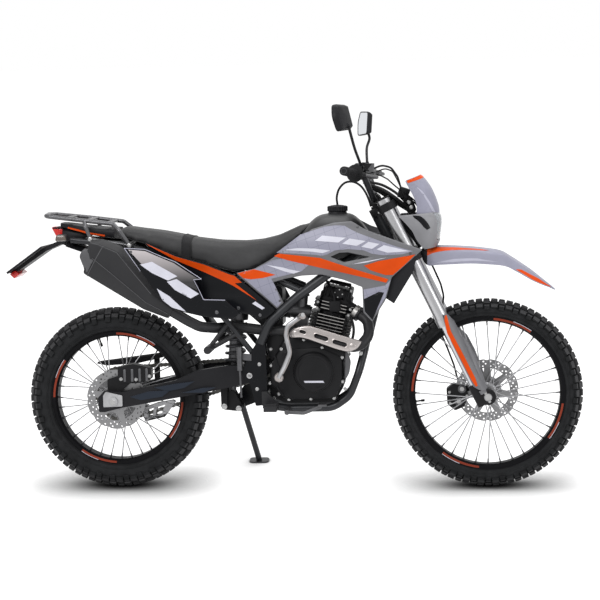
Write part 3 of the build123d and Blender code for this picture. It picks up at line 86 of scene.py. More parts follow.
def steer(n, y, b):
    """Upright-machine point from the steering axis: n forward of it, b up along it."""
    return (
        STEER_FOOT[0] + n * cos(RAKE) - b * sin(RAKE),
        y,
        STEER_FOOT[1] + n * sin(RAKE) + b * cos(RAKE),
    )


def placed(name, data):
    """A new object of some data, linked into the scene."""
    made = bpy.data.objects.new(name, data)
    bpy.context.scene.collection.objects.link(made)
    return made


def maths(tree, operation, first, second):
    """A maths node of two inputs, each a socket or a number."""
    node = tree.nodes.new("ShaderNodeMath")
    node.operation = operation
    for socket, value in zip(node.inputs, (first, second)):
        if isinstance(value, float):
            socket.default_value = value
        else:
            tree.links.new(value, socket)
    return node.outputs[0]


# ---- materials ------------------------------------------------------------
finishes = {}


class Finish:
    """A Principled material, kept in finishes, with helpers for its procedural detail."""

    def __init__(self, name, colour, rough, metal=0.0, coat=0.0, specular=0.5):
        material = bpy.data.materials.new(name)
        material.use_nodes = True
        finishes[name] = material
        self.tree = material.node_tree
        self.shader = self.tree.nodes["Principled BSDF"]
        self.shader.inputs["Base Color"].default_value = (*colour, 1)
        self.shader.inputs["Roughness"].default_value = rough
        self.shader.inputs["Metallic"].default_value = metal
        self.shader.inputs["Coat Weight"].default_value = coat
        self.shader.inputs["Specular IOR Level"].default_value = specular
        self.shader.inputs["Coat Roughness"].default_value = 0.08
        self.colour = colour
        self.height = None
        self.place = self.node("ShaderNodeTexCoord").outputs["Object"]

    def node(self, kind, **settings):
        """A new node with some of its settings."""
        made = self.tree.nodes.new(kind)
        for key, value in settings.items():
            setattr(made, key, value)
        return made

    def link(self, source, target):
        """Join an output to an input."""
        self.tree.links.new(source, target)

    def mapped(self, socket, value):
        """The place, scaled or turned."""
        mapping = self.node("ShaderNodeMapping")
        mapping.inputs[socket].default_value = value
        self.link(self.place, mapping.inputs["Vector"])
        return mapping.outputs["Vector"]

    def parted(self, vector):
        """The X, Y and Z of a vector."""
        split = self.node("ShaderNodeSeparateXYZ")
        self.link(vector, split.inputs["Vector"])
        return split.outputs

    def noise(self, scale, detail=4, stretch=(1, 1, 1)):
        """Cloudy values at a scale, stretched along some axes."""
        texture = self.node("ShaderNodeTexNoise")
        texture.inputs["Scale"].default_value = scale
        texture.inputs["Detail"].default_value = detail
        self.link(self.mapped("Scale", stretch), texture.inputs["Vector"])
        return texture.outputs["Fac"]

    def cells(self, scale):
        """Distance from the edges of a net of cells."""
        texture = self.node("ShaderNodeTexVoronoi", feature="DISTANCE_TO_EDGE")
        texture.inputs["Scale"].default_value = scale
        self.link(self.place, texture.inputs["Vector"])
        return texture.outputs["Distance"]

    def blend(self, source, first, second):
        """Base colour from first to second as the source goes from 0 to 1."""
        mix = self.node("ShaderNodeMix", data_type="RGBA")
        mix.inputs["A"].default_value = (*first, 1)
        mix.inputs["B"].default_value = (*second, 1)
        self.link(source, mix.inputs["Factor"])
        self.link(mix.outputs["Result"], self.shader.inputs["Base Color"])

    def tint(self, source, dark, light):
        """Vary the base colour between two factors of itself."""
        ramp = self.node("ShaderNodeValToRGB")
        ramp.color_ramp.elements[0].position = 0.3
        ramp.color_ramp.elements[1].position = 0.7
        ramp.color_ramp.elements[0].color = (*[c * dark for c in self.colour], 1)
        ramp.color_ramp.elements[1].color = (*[min(1, c * light) for c in self.colour], 1)
        self.link(source, ramp.inputs["Fac"])
        self.link(ramp.outputs["Color"], self.shader.inputs["Base Color"])

    def polish(self, source, low, high):
        """Roughness from low to high with a 0-to-1 texture."""
        level = self.node("ShaderNodeMapRange")
        level.inputs["To Min"].default_value = low
        level.inputs["To Max"].default_value = high
        self.link(source, level.inputs["Value"])
        self.link(level.outputs["Result"], self.shader.inputs["Roughness"])

    def bump(self, source, distance, strength=1.0):
        """Relief on top of what is there; distance is in millimetres."""
        made = self.node("ShaderNodeBump")
        made.inputs["Distance"].default_value = distance * MM
        made.inputs["Strength"].default_value = strength
        self.link(source, made.inputs["Height"])
        if self.height is not None:
            self.link(self.height, made.inputs["Normal"])
        self.height = made.outputs["Normal"]
        self.link(self.height, self.shader.inputs["Normal"])


def moulded(name, colour, rough, grain=900, depth=0.12, coat=0.0, specular=0.14):
    """Moulded plastic with a fine grain and slightly uneven gloss."""
    made = Finish(name, colour, rough, coat=coat, specular=specular)
    made.tint(made.noise(14), 0.92, 1.06)
    made.polish(made.noise(60), rough - 0.05, rough + 0.08)
    made.bump(made.noise(grain, 2), depth)


def painted(name, colour, rough, metal=0.0, coat=0.0, specular=0.2):
    """Powder coat or paint on metal, with orange peel and handling marks."""
    made = Finish(name, colour, rough, metal=metal, coat=coat, specular=specular)
    made.tint(made.noise(9), 0.88, 1.1)
    made.polish(made.noise(45), rough - 0.06, rough + 0.1)
    made.bump(made.noise(420, 2), 0.08)


def cast(name, colour, rough, metal, grain=260, depth=0.35, specular=0.14):
    """Sand-cast or blasted metal."""
    made = Finish(name, colour, rough, metal=metal, specular=specular)
    made.tint(made.noise(20), 0.8, 1.15)
    made.polish(made.noise(80), rough - 0.08, rough + 0.1)
    made.bump(made.noise(grain, 5), depth)


def brushed(name, colour, rough, metal=1.0, stretch=(1, 14, 14)):
    """Drawn or brushed metal with fine lines."""
    made = Finish(name, colour, rough, metal=metal)
    lines = made.noise(240, 3, stretch)
    made.tint(lines, 0.86, 1.08)
    made.polish(lines, rough - 0.06, rough + 0.12)
    made.bump(lines, 0.05)


def tyre_rubber():
    """Matt rubber, patchy with dust."""
    made = Finish("tyre_rubber", (0.015, 0.0155, 0.0165), 0.72, specular=0.12)
    made.tint(made.noise(28), 0.75, 1.4)
    made.polish(made.noise(120), 0.62, 0.85)
    made.bump(made.noise(700, 3), 0.2)


def seat_vinyl():
    """Seat cover with a leather-like grain."""
    made = Finish("seat_vinyl", (0.017, 0.017, 0.018), 0.5, specular=0.35)
    made.tint(made.noise(30), 0.85, 1.2)
    made.polish(made.noise(90), 0.46, 0.62)
    made.bump(made.cells(520), 0.35, 0.7)
    made.bump(made.noise(1400, 2), 0.1)


GRID_PITCH = 0.036
GRID_TURN = 0.33
GRID_LINE = 0.00055


def printed_grid(name, colour, line_colour):
    """Gloss plastic with a faint slanted net of lines in the print, laid in x and z."""
    made = Finish(name, colour, 0.28, coat=0.05, specular=0.2)
    place = made.parted(made.mapped("Rotation", (0, GRID_TURN, 0)))
    lines = []
    for axis in ("X", "Z"):
        wave = maths(made.tree, "PINGPONG", place[axis], GRID_PITCH / 2)
        lines.append(maths(made.tree, "LESS_THAN", wave, GRID_LINE))
    made.blend(maths(made.tree, "MAXIMUM", *lines), colour, line_colour)
    made.polish(made.noise(40), 0.24, 0.36)
    made.bump(made.noise(300, 2), 0.05)


def glassy(name, colour, rough, transmission):
    """A clear or tinted moulding that lets some light through."""
    made = Finish(name, colour, rough)
    made.shader.inputs["Transmission Weight"].default_value = transmission
    made.shader.inputs["IOR"].default_value = 1.5
    made.bump(made.noise(30, 1), 0.05)


def faded(name, pale, dark, low, high):
    """A print that fades with height from dark to pale."""
    made = Finish(name, pale, 0.3, coat=0.2)
    level = made.node("ShaderNodeMapRange")
    level.inputs["From Min"].default_value = low
    level.inputs["From Max"].default_value = high
    made.link(made.parted(made.place)["Z"], level.inputs["Value"])
    made.blend(level.outputs["Result"], dark, pale)
    made.polish(made.noise(40), 0.26, 0.38)
    made.bump(made.noise(300, 2), 0.04)


GREY = (0.30, 0.30, 0.375)
ORANGE = (0.69, 0.070, 0.004)

painted("frame_black", (0.026, 0.027, 0.030), 0.30, metal=0.3, specular=0.3)
moulded("knob_rubber", (0.034, 0.034, 0.036), 0.6, specular=0.3)
moulded("end_cap", (0.10, 0.10, 0.105), 0.42, depth=0.1)
painted("rack_satin", (0.11, 0.11, 0.115), 0.26, metal=0.6)
brushed("fin_edge", (0.36, 0.35, 0.34), 0.4)
glassy("lamp_smoke", (0.16, 0.13, 0.11), 0.12, 0.3)
moulded("arm_blue", (0.02, 0.026, 0.038), 0.3, depth=0.04)
cast("silver_alloy", (0.36, 0.36, 0.37), 0.36, 0.9, depth=0.1)
brushed("fork_silver", (0.40, 0.40, 0.41), 0.26, stretch=(30, 30, 4))
cast("engine_black", (0.010, 0.010, 0.011), 0.42, 0.0, depth=0.2)
painted("exhaust_black", (0.024, 0.024, 0.026), 0.40)
brushed("shield_steel", (0.40, 0.37, 0.36), 0.26)
moulded("black_plastic", (0.013, 0.013, 0.015), 0.44)
printed_grid("panel_grey", GREY, (0.19, 0.19, 0.245))
moulded("plain_grey", (0.165, 0.165, 0.175), 0.34, coat=0.05)
moulded("hood_grey", (0.27, 0.27, 0.285), 0.3, depth=0.05)
moulded("smooth_grey", GREY, 0.3, depth=0.05)
moulded("panel_orange", ORANGE, 0.32, depth=0.04)
moulded("panel_black", (0.005, 0.0055, 0.007), 0.24, depth=0.04)
moulded("panel_white", (0.66, 0.66, 0.74), 0.3, depth=0.04)
moulded("panel_pale", (0.45, 0.45, 0.54), 0.3, depth=0.04)
faded("panel_fade", (0.52, 0.48, 0.49), (0.012, 0.012, 0.014), 0.80, 0.91)
moulded("tank_black", (0.012, 0.012, 0.013), 0.40, depth=0.1, specular=0.4)
seat_vinyl()
tyre_rubber()
painted("rim_black", (0.006, 0.006, 0.007), 0.4, metal=0.0, specular=0.06)
painted("rim_red", (0.24, 0.034, 0.014), 0.45)
brushed("spoke_steel", (0.30, 0.30, 0.31), 0.28)
brushed("disc_steel", (0.23, 0.23, 0.235), 0.34, stretch=(6, 1, 6))
cast("chain_steel", (0.10, 0.098, 0.092), 0.38, 0.8, depth=0.1)
brushed("chrome_tube", (0.46, 0.47, 0.49), 0.14)
moulded("rubber_black", (0.010, 0.010, 0.011), 0.6, grain=600, depth=0.2, specular=0.15)
glassy("lens_clear", (0.50, 0.52, 0.55), 0.06, 0.55)
glassy("lamp_red", (0.75, 0.02, 0.015), 0.12, 0.2)
painted("spring_steel", (0.06, 0.06, 0.065), 0.3, metal=0.4)
brushed("mirror_glass", (0.75, 0.77, 0.8), 0.03)
cast("dark_alloy", (0.10, 0.10, 0.105), 0.36, 0.7, depth=0.12)
brushed("bolt_steel", (0.40, 0.40, 0.40), 0.3)

NODE_FINISH = {
    "frame_black": "main_frame engine_cradle subframe handlebar side_stand",
    "black_plastic": (
        "swingarm airbox fuel_cap shroud_ducts rear_fender plate_holder mirrors instrument"
    ),
    "silver_alloy": "arm_hardware chain_guides kick_starter",
    "chain_steel": "drive_chain",
    "spring_steel": "rear_shock",
    "engine_black": (
        "shock_linkage crankcase clutch_cover cylinder cylinder_head rear_brake_caliper "
        "triple_clamps hand_controls front_brake_caliper"
    ),
    "dark_alloy": "carburettor foot_controls",
    "exhaust_black": "exhaust_header muffler foot_pegs",
    "shield_steel": "heat_shield",
    "panel_black": "number_panel side_panels",
    "tank_black": "fuel_tank",
    "rubber_black": "tank_vent_hose grips front_brake_hose control_cables",
    "seat_vinyl": "seat",
    "panel_grey": "shrouds headlight_mask front_fender",
    "lamp_red": "rear_lights",
    "rack_satin": "luggage_rack",
    "fork_silver": "fork_outer_tubes",
    "chrome_tube": "fork_legs",
    "plain_grey": "fork_guards",
    "spoke_steel": "front_axle front_hub rear_hub",
    "lens_clear": "headlight",
    "tyre_rubber": "front_tyre rear_tyre",
    "rim_black": "front_rim rear_rim",
    "disc_steel": "front_brake_disc rear_brake_disc rear_sprocket",
}


def finish_nodes():
    """Give every carried-over CAD node its material."""
    for finish, group in NODE_FINISH.items():
        for name in group.split():
            mesh = nodes[name].data
            mesh.materials.clear()
            mesh.materials.append(finishes[finish])
            for polygon in mesh.polygons:
                polygon.material_index = 0


finish_nodes()


# ---- stage ------------------------------------------------------------------
# Places on the upright machine in millimetres, turns in radians, and the lens in millimetres.
CAMERA_AT = (1233.9, -5889.4, 1262.8)
CAMERA_YAW = 0.0937
CAMERA_PITCH = 0.0965
CAMERA_ROLL = -0.0196
CAMERA_LENS = 97.3


def camera():
    """The camera leans with the machine: it is placed in the upright machine's frame."""
    data = bpy.data.cameras.new("camera")
    data.lens = CAMERA_LENS
    data.clip_end = 60
    made = placed("camera", data)
    yaw, pitch, roll = CAMERA_YAW, CAMERA_PITCH, CAMERA_ROLL
    ahead = Vector((-sin(yaw) * cos(pitch), cos(yaw) * cos(pitch), -sin(pitch)))
    right = Vector((cos(yaw), sin(yaw), 0))
    up = right.cross(ahead)
    turned_right = cos(roll) * right + sin(roll) * up
    turned_up = cos(roll) * up - sin(roll) * right
    turn = Matrix((turned_right, turned_up, -ahead)).transposed().to_4x4()
    spot = Matrix.Translation(Vector(CAMERA_AT) * MM)
    made.matrix_world = PLACE @ spot @ turn
    bpy.context.scene.camera = made


def area_light(name, place, target, size, power):
    """A soft rectangular lamp, in metres and watts, turned towards a target."""
    data = bpy.data.lights.new(name, "AREA")
    data.shape = "RECTANGLE"
    data.size, data.size_y = size
    data.energy = power
    made = placed(name, data)
    made.location = place
    made.rotation_euler = (Vector(target) - Vector(place)).to_track_quat("-Z", "Y").to_euler()


def seen_directly(tree):
    """1 for camera, glossy and transmission rays."""
    ray = tree.nodes.new("ShaderNodeLightPath").outputs
    seen = maths(tree, "MAXIMUM", ray["Is Camera Ray"], ray["Is Glossy Ray"])
    return maths(tree, "MAXIMUM", seen, ray["Is Transmission Ray"])


WORLD_LIGHT = 0.5
WHITE = 1.0


def backdrop():
    """White surroundings where they are seen, and a plainer level where they light."""
    world = bpy.data.worlds.new("studio")
    bpy.context.scene.world = world
    world.use_nodes = True
    tree = world.node_tree
    shader = tree.nodes["Background"]
    shader.inputs["Color"].default_value = (1, 1, 1, 1)
    level = tree.nodes.new("ShaderNodeMapRange")
    level.inputs["To Min"].default_value = WORLD_LIGHT
    level.inputs["To Max"].default_value = WHITE
    tree.links.new(seen_directly(tree), level.inputs["Value"])
    tree.links.new(level.outputs["Result"], shader.inputs["Strength"])


FLOOR_REACH = 14
FLOOR_PALE = 0.78
FLOOR_GLOW = 0.62
SHADOW_REACH = 0.2
SHADOW_DEPTH = 2.4


def floor():
    """Pale floor, white where it is seen directly.

    Its shadow is more than the lamps' own: the occlusion term darkens colour and glow
    within SHADOW_REACH, in metres, of what stands on the floor.
    """
    mesh = bpy.data.meshes.new("floor")
    corners = [(-1, -1), (1, -1), (1, 1), (-1, 1)]
    mesh.from_pydata([(x * FLOOR_REACH, y * FLOOR_REACH, 0) for x, y in corners], [],
                     [(0, 1, 2, 3)])
    made = placed("floor", mesh)
    material = bpy.data.materials.new("pale_floor")
    material.use_nodes = True
    tree = material.node_tree
    matt = tree.nodes["Principled BSDF"]
    matt.inputs["Roughness"].default_value = 0.9
    matt.inputs["Specular IOR Level"].default_value = 0.0
    near = tree.nodes.new("ShaderNodeAmbientOcclusion")
    near.inputs["Distance"].default_value = SHADOW_REACH
    deep = maths(tree, "POWER", near.outputs["AO"], SHADOW_DEPTH)
    lift = maths(tree, "MULTIPLY", seen_directly(tree), FLOOR_GLOW)
    glow = tree.nodes.new("ShaderNodeEmission")
    tree.links.new(maths(tree, "MULTIPLY", lift, deep), glow.inputs["Strength"])
    tree.links.new(maths(tree, "MULTIPLY", deep, FLOOR_PALE), matt.inputs["Base Color"])
    add = tree.nodes.new("ShaderNodeAddShader")
    tree.links.new(matt.outputs[0], add.inputs[0])
    tree.links.new(glow.outputs[0], add.inputs[1])
    tree.links.new(add.outputs[0], tree.nodes["Material Output"].inputs["Surface"])
    mesh.materials.append(material)


# ---- mesh helpers ---------------------------------------------------------------
def world_points(points):
    """Row-frame points, in metres, of an array of upright-machine points."""
    spots = np.asarray(points, float) * MM
    turn = np.array(PLACE)
    return spots @ turn[:3, :3].T + turn[:3, 3]


def piece(name, points, faces, material, body, slot=None, sharp=32, smooth=True):
    """A mesh piece from upright-machine points, riding on a body."""
    mesh = bpy.data.meshes.new(name)
    mesh.from_pydata(world_points(points).tolist(), [], faces)
    work = bmesh.new()
    work.from_mesh(mesh)
    bmesh.ops.recalc_face_normals(work, faces=work.faces)
    work.to_mesh(mesh)
    work.free()
    if smooth:
        mesh.shade_smooth()
        mesh.set_sharp_from_angle(angle=radians(sharp))
    mesh.materials.append(finishes[material])
    made = placed(name, mesh)
    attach(made, body)
    return made


class Heap:
    """Points and faces gathered from many small shapes into one piece."""

    def __init__(self):
        self.points = []
        self.faces = []

    def add(self, points, faces):
        """Take in one more shape."""
        base = len(self.points)
        self.points.extend([tuple(p) for p in points])
        self.faces.extend([tuple(base + i for i in face) for face in faces])
        return self

    def bolts(self, spots, y, radius, height, sides=BOTH):
        """Bolt heads at places in x and z, outward on the faces at y of the given sides."""
        for x, z in spots:
            for side in sides:
                self.add(*bolt((x, side * y, z), (0, side, 0), radius, height))
        return self

    def across(self, profile, x, z, y0, y1, corners):
        """A part turned about a line across the machine, from y0 to y1."""
        return self.add(*turned(profile, (x, y0, z), (x, y1, z), corners))

    def make(self, name, material, body, **more):
        """The piece itself, riding on a body."""
        return piece(name, self.points, self.faces, material, body, **more)


def second_material(made, material, test):
    """Give another material to the faces of an object whose upright middle passes a test."""
    made.data.materials.append(finishes[material])
    index = len(made.data.materials) - 1
    for polygon in made.data.polygons:
        x, y, z = (UPRIGHT @ polygon.center) / MM
        if test(x, y, z):
            polygon.material_index = index


def grid_faces(rows, columns, wrap_rows=False, wrap_columns=False):
    """Four-sided faces over a grid of points, closed round either way where asked."""
    faces = []
    for i in range(rows if wrap_rows else rows - 1):
        for j in range(columns if wrap_columns else columns - 1):
            a, b = i, (i + 1) % rows
            c, d = j, (j + 1) % columns
            faces.append((a * columns + c, a * columns + d, b * columns + d, b * columns + c))
    return faces


def loft(rings, caps=True):
    """Points and faces of a closed skin through rings of equal length."""
    points = [p for ring in rings for p in ring]
    count = len(rings[0])
    faces = grid_faces(len(rings), count, wrap_columns=True)
    if caps:
        faces.append(tuple(range(count)))
        faces.append(tuple(range(len(points) - count, len(points))))
    return points, faces


def smooth_line(points, per=6, closed=False):
    """Catmull-Rom curve through points of any dimension."""
    path = [np.array(p, float) for p in points]
    if closed:
        path = [path[-1], *path, path[0], path[1]]
    else:
        path = [2 * path[0] - path[1], *path, 2 * path[-1] - path[-2]]
    line = []
    for i in range(1, len(path) - 2):
        a, b, c, d = path[i - 1:i + 3]
        for j in range(per):
            t = j / per
            line.append(
                0.5 * (2 * b + (c - a) * t + (2 * a - 5 * b + 4 * c - d) * t**2
                       + (3 * b - a - 3 * c + d) * t**3)
            )
    if not closed:
        line.append(path[-2])
    return line


def unit(vector):
    """The same direction at length 1."""
    vector = np.array(vector, float)
    return vector / np.linalg.norm(vector)


def signed_power(value, power):
    """A power that keeps the sign."""
    return abs(value) ** power * (1 if value > 0 else -1)


def ring_turns(count, start=0.0):
    """Angles evenly round a circle."""
    return [start + 2 * pi * k / count for k in range(count)]


def across_of(direction):
    """Two unit vectors square to a direction."""
    axis = unit(direction)
    helper = (0.0, 1.0, 0.0) if abs(axis[1]) < 0.9 else (1.0, 0.0, 0.0)
    first = unit(np.cross(axis, helper))
    return first, np.cross(axis, first)


def tube(path, radius, sides=12, caps=True):
    """Round bar along a path of points; radius is one number or one for each point."""
    path = [np.array(p, float) for p in path]
    radii = radius if hasattr(radius, "__len__") else [radius] * len(path)
    first = None
    rings = []
    for i, spot in enumerate(path):
        ahead = unit(path[min(i + 1, len(path) - 1)] - path[max(i - 1, 0)])
        if first is None:
            first, _ = across_of(ahead)
        first = unit(first - ahead * (first @ ahead))
        second = np.cross(ahead, first)
        rings.append([spot + radii[i] * (cos(t) * first + sin(t) * second)
                      for t in ring_turns(sides)])
    return loft(rings, caps)


def turned(profile, start, end, sides=24):
    """A turned part: profile of (share along, radius) between two points."""
    start, end = np.array(start, float), np.array(end, float)
    first, second = across_of(end - start)
    rings = []
    for along, radius in profile:
        spot = start + along * (end - start)
        rings.append([spot + radius * (cos(t) * first + sin(t) * second)
                      for t in ring_turns(sides)])
    return loft(rings)


def bolt(at_point, direction, radius, height, sides=6):
    """Flanged hexagon bolt head standing on a point."""
    start = np.array(at_point, float)
    way = unit(direction)
    heap = Heap()
    washer = [(0, radius * 1.3), (0.8, radius * 1.3), (1, radius * 1.15)]
    heap.add(*turned(washer, start - way, start + way * height * 0.3, 18))
    head = [(0, radius), (0.82, radius), (1, radius * 0.86)]
    heap.add(*turned(head, start, start + way * height, sides))
    return heap.points, heap.faces


def on_wheel(centre, radius, y, angle):
    """A point at a radius from a wheel's axle."""
    return centre[0] + radius * cos(angle), y, centre[1] + radius * sin(angle)


def wheel_turn(centre, rings_of):
    """Turn (radius, y) points round a wheel's axle: rings_of lists one profile per step."""
    return [on_wheel(centre, radius, y, angle)
            for angle, profile in zip(ring_turns(len(rings_of)), rings_of)
            for radius, y in profile]


def inside(spots, loop):
    """Which spots, an (n, 2) array, lie inside a closed loop."""
    x, y = spots[:, 0], spots[:, 1]
    result = np.zeros(len(spots), bool)
    x0, y0 = loop[-1]
    for x1, y1 in loop:  # an odd number of sides is crossed on the way in
        crosses = (y0 > y) != (y1 > y)
        if y0 != y1:
            result ^= crosses & (x < x0 + (y - y0) * (x1 - x0) / (y1 - y0))
        x0, y0 = x1, y1
    return result


def loop_distance(spots, loops):
    """Distance of each spot from the nearest side of any loop."""
    best = np.full(len(spots), 1e9)
    for loop in loops:
        corners = np.array(loop, float)
        for a, b in zip(corners, np.roll(corners, -1, axis=0)):
            side = b - a
            share = np.clip((spots - a) @ side / max(side @ side, 1e-12), 0, 1)
            gap = np.linalg.norm(spots - a - share[:, None] * side, axis=1)
            best = np.minimum(best, gap)
    return best


def rounded(loop, radius):
    """A closed loop with each corner cut by a small arc."""
    corners = [np.array(p, float) for p in loop]
    result = []
    for i, corner in enumerate(corners):
        back = corners[i - 1] - corner
        ahead = corners[(i + 1) % len(corners)] - corner
        cut = min(radius, np.linalg.norm(back) * 0.4, np.linalg.norm(ahead) * 0.4)
        start = corner + unit(back) * cut
        end = corner + unit(ahead) * cut
        for t in (0, 0.33, 0.67, 1):
            result.append(tuple((1 - t)**2 * start + 2 * t * (1 - t) * corner + t**2 * end))
    return result


def divided(loop, step):
    """A closed loop with no side longer than step."""
    result = []
    for a, b in zip(loop, [*loop[1:], loop[0]]):
        count = max(1, ceil(hypot(b[0] - a[0], b[1] - a[1]) / step))
        for k in range(count):
            t = k / count
            result.append((a[0] + t * (b[0] - a[0]), a[1] + t * (b[1] - a[1])))
    return result


def inset(loop, gap):
    """Points a gap inside each point of a dense closed loop."""
    spots = np.array(loop, float)
    ahead = np.roll(spots, -1, axis=0) - np.roll(spots, 1, axis=0)
    normal = np.stack((-ahead[:, 1], ahead[:, 0]), axis=1)
    normal /= np.linalg.norm(normal, axis=1, keepdims=True) + 1e-9
    x, z = spots.T
    twice_area = np.sum(x * np.roll(z, -1) - np.roll(x, -1) * z)
    return spots + normal * gap * (1 if twice_area > 0 else -1)


def filled(outline, holes=(), step=16.0, edge_rings=()):
    """Flat triangle mesh of an outline with holes: spots, triangles and boundary loops."""
    loops = [divided(list(outline), step), *[divided(list(hole), step) for hole in holes]]
    spots = []
    sides = []
    ids = []
    for loop in loops:
        ring = list(range(len(spots), len(spots) + len(loop)))
        spots.extend(loop)
        ids.append(ring)
        sides.extend(zip(ring, [*ring[1:], ring[0]]))
    extra = []
    for gap in edge_rings:
        ring = inset(loops[0], gap)
        good = inside(ring, loops[0]) & (loop_distance(ring, loops) > gap * 0.85)
        extra.extend(ring[good].tolist())
    low, high = np.min(loops[0], axis=0), np.max(loops[0], axis=0)
    xs = np.arange(low[0] + step / 2, high[0], step)
    zs = np.arange(low[1] + step / 2, high[1], step)
    if len(xs) and len(zs):
        mesh_x, mesh_z = np.meshgrid(xs, zs)
        mesh_x[::2] += step / 2
        net = np.stack((mesh_x.ravel(), mesh_z.ravel()), axis=1)
        margin = max([step * 0.5, *[gap + step * 0.4 for gap in edge_rings]])
        good = inside(net, loops[0]) & (loop_distance(net, loops) > margin)
        for hole in loops[1:]:
            good &= ~inside(net, hole)
        extra.extend(net[good].tolist())
    spots.extend(extra)
    corners, _, triangles, origins, *_ = delaunay_2d_cdt(
        [Vector(s) for s in spots], sides, [], 0, 1e-4)
    places = np.array([tuple(v) for v in corners])
    renumber = {old: new for new, olds in enumerate(origins) for old in olds}
    triangles = [tuple(face) for face in triangles]
    middles = np.array([places[list(face)].mean(axis=0) for face in triangles])
    keep = inside(middles, loops[0])
    for hole in loops[1:]:
        keep &= ~inside(middles, hole)
    kept = [face for face, good in zip(triangles, keep) if good]
    rims = [[renumber[i] for i in loop] for loop in ids]
    return places, kept, rims


def thickened(places, triangles, rims, outer, inner):
    """Close a sheet: outer and inner are each spot's two 3-D points."""
    count = len(places)
    faces = list(triangles)
    faces.extend([tuple(count + i for i in reversed(face)) for face in triangles])
    for rim in rims:
        for a, b in zip(rim, [*rim[1:], rim[0]]):
            if a != b:
                faces.append((a, b, count + b, count + a))
    return [*outer, *inner], faces


def plate_xz(outline, y0, y1, holes=(), step=60.0):
    """A flat plate in the x-z plane between two y."""
    places, triangles, rims = filled(outline, holes, step)
    outer = [(x, y1, z) for x, z in places]
    inner = [(x, y0, z) for x, z in places]
    return thickened(places, triangles, rims, outer, inner)


def circle(x, z, radius, count):
    return [(x + radius * cos(t), z + radius * sin(t)) for t in ring_turns(count)]


class Skin:
    """A moulded panel: an outline in x and z on a surface that gives half-width y."""

    def __init__(self, outline, surface, roll=6.0, corner=5.0, holes=()):
        self.loop = rounded(outline, corner) if corner else list(outline)
        self.holes = [rounded(hole, corner * 0.6) if corner else list(hole) for hole in holes]
        self.surface = surface
        self.roll = roll

    def half_width(self, spots):
        """The face's half-width, rolled in towards its edges."""
        gap = loop_distance(spots, [self.loop, *self.holes])
        near = np.clip(1 - gap / self.roll, 0, 1) if self.roll else np.zeros(len(spots))
        drop = self.roll * (1 - np.sqrt(1 - near**2))
        return self.surface(spots[:, 0], spots[:, 1]) - drop

    def at(self, x, z):
        """The face's half-width at one place."""
        return float(self.half_width(np.array([(x, z)]))[0])

    def shape(self, side, thick=3.0, step=9.0):
        """The whole panel, with its holes."""
        rings = (self.roll * 0.15, self.roll * 0.45, self.roll) if self.roll else ()
        places, triangles, rims = filled(self.loop, self.holes, step, rings)
        outer = self.half_width(places)
        return self.close(places, triangles, rims, outer, thick, side)

    def decal(self, outline, side, lift=0.9, step=7.0, corner=0.0):
        """A thin printed shape lying on the panel."""
        loop = rounded(outline, corner) if corner else list(outline)
        places, triangles, rims = filled(loop, (), step)
        return self.close(places, triangles, rims, self.half_width(places) + lift, 1.4, side)

    def close(self, places, triangles, rims, outer, thick, side):
        """Give a sheet its thickness, on one side of the machine."""
        top = [(x, side * y, z) for (x, z), y in zip(places, outer)]
        low = [(x, side * (y - thick), z) for (x, z), y in zip(places, outer)]
        return thickened(places, triangles, rims, top, low)


def both_sides(name, skin_, material, outlines=None, slot=None, **more):
    """One piece holding a panel, or decals on it, on both sides of the machine."""
    heap = Heap()
    for side in BOTH:
        if outlines is None:
            heap.add(*skin_.shape(side, **more))
        else:
            for outline in outlines:
                heap.add(*skin_.decal(outline, side, **more))
    return heap.make(name, material, "chassis", slot=slot)


def panel_screws(name, skin_, spots, radius, height, sides=BOTH):
    """Button screws that hold a panel."""
    heap = Heap()
    for x, z in spots:
        heap.bolts([(x, z)], skin_.at(x, z), radius, height, sides)
    heap.make(name, "dark_alloy", "chassis")


# ---- tyres and wheels -------------------------------------------------------------
def tyre_profile(radius, half, crown, rim_r, bead, knob):
    """Half of the carcass from its crown to its bead, as (radius, y)."""
    small = crown - knob
    middle = radius - crown
    edge = half - 6
    shoulder = middle + sqrt(small**2 - (edge * 0.86)**2)
    corners = [(middle + sqrt(small**2 - y**2), y) for y in np.linspace(0, edge * 0.86, 6)]
    corners.append((shoulder - 8, edge * 0.99))
    corners.append(((shoulder + rim_r) / 2, edge))
    corners.append((rim_r + 11, edge - 4))
    corners.append((rim_r + 4, (bead + edge) / 2 + 1))
    corners.append((rim_r + 1.5, bead + 2))
    corners.append((rim_r - 4, bead - 2))
    return smooth_line(corners, 4)


class Carcass:
    """The tyre's half section, to be walked by its length from the crown."""

    def __init__(self, profile):
        self.line = np.array(profile)
        run = np.linalg.norm(np.diff(self.line, axis=0), axis=1)
        self.length = np.concatenate(([0], np.cumsum(run)))

    def spot(self, along, lift):
        """(radius, y) at a signed length from the crown, lifted square to the skin."""
        side = -1 if along < 0 else 1
        reach = min(abs(along), self.length[-1] - 1)
        radius, y = self.at(reach)
        ahead_r, ahead_y = self.at(reach + 0.8)
        back_r, back_y = self.at(max(reach - 0.8, 0))
        dr, dy = ahead_r - back_r, ahead_y - back_y
        long = hypot(dr, dy) or 1
        return radius + lift * dy / long, side * (y - lift * dr / long)

    def at(self, reach):
        """(radius, y) on the skin."""
        return tuple(np.interp(reach, self.length, column) for column in self.line.T)


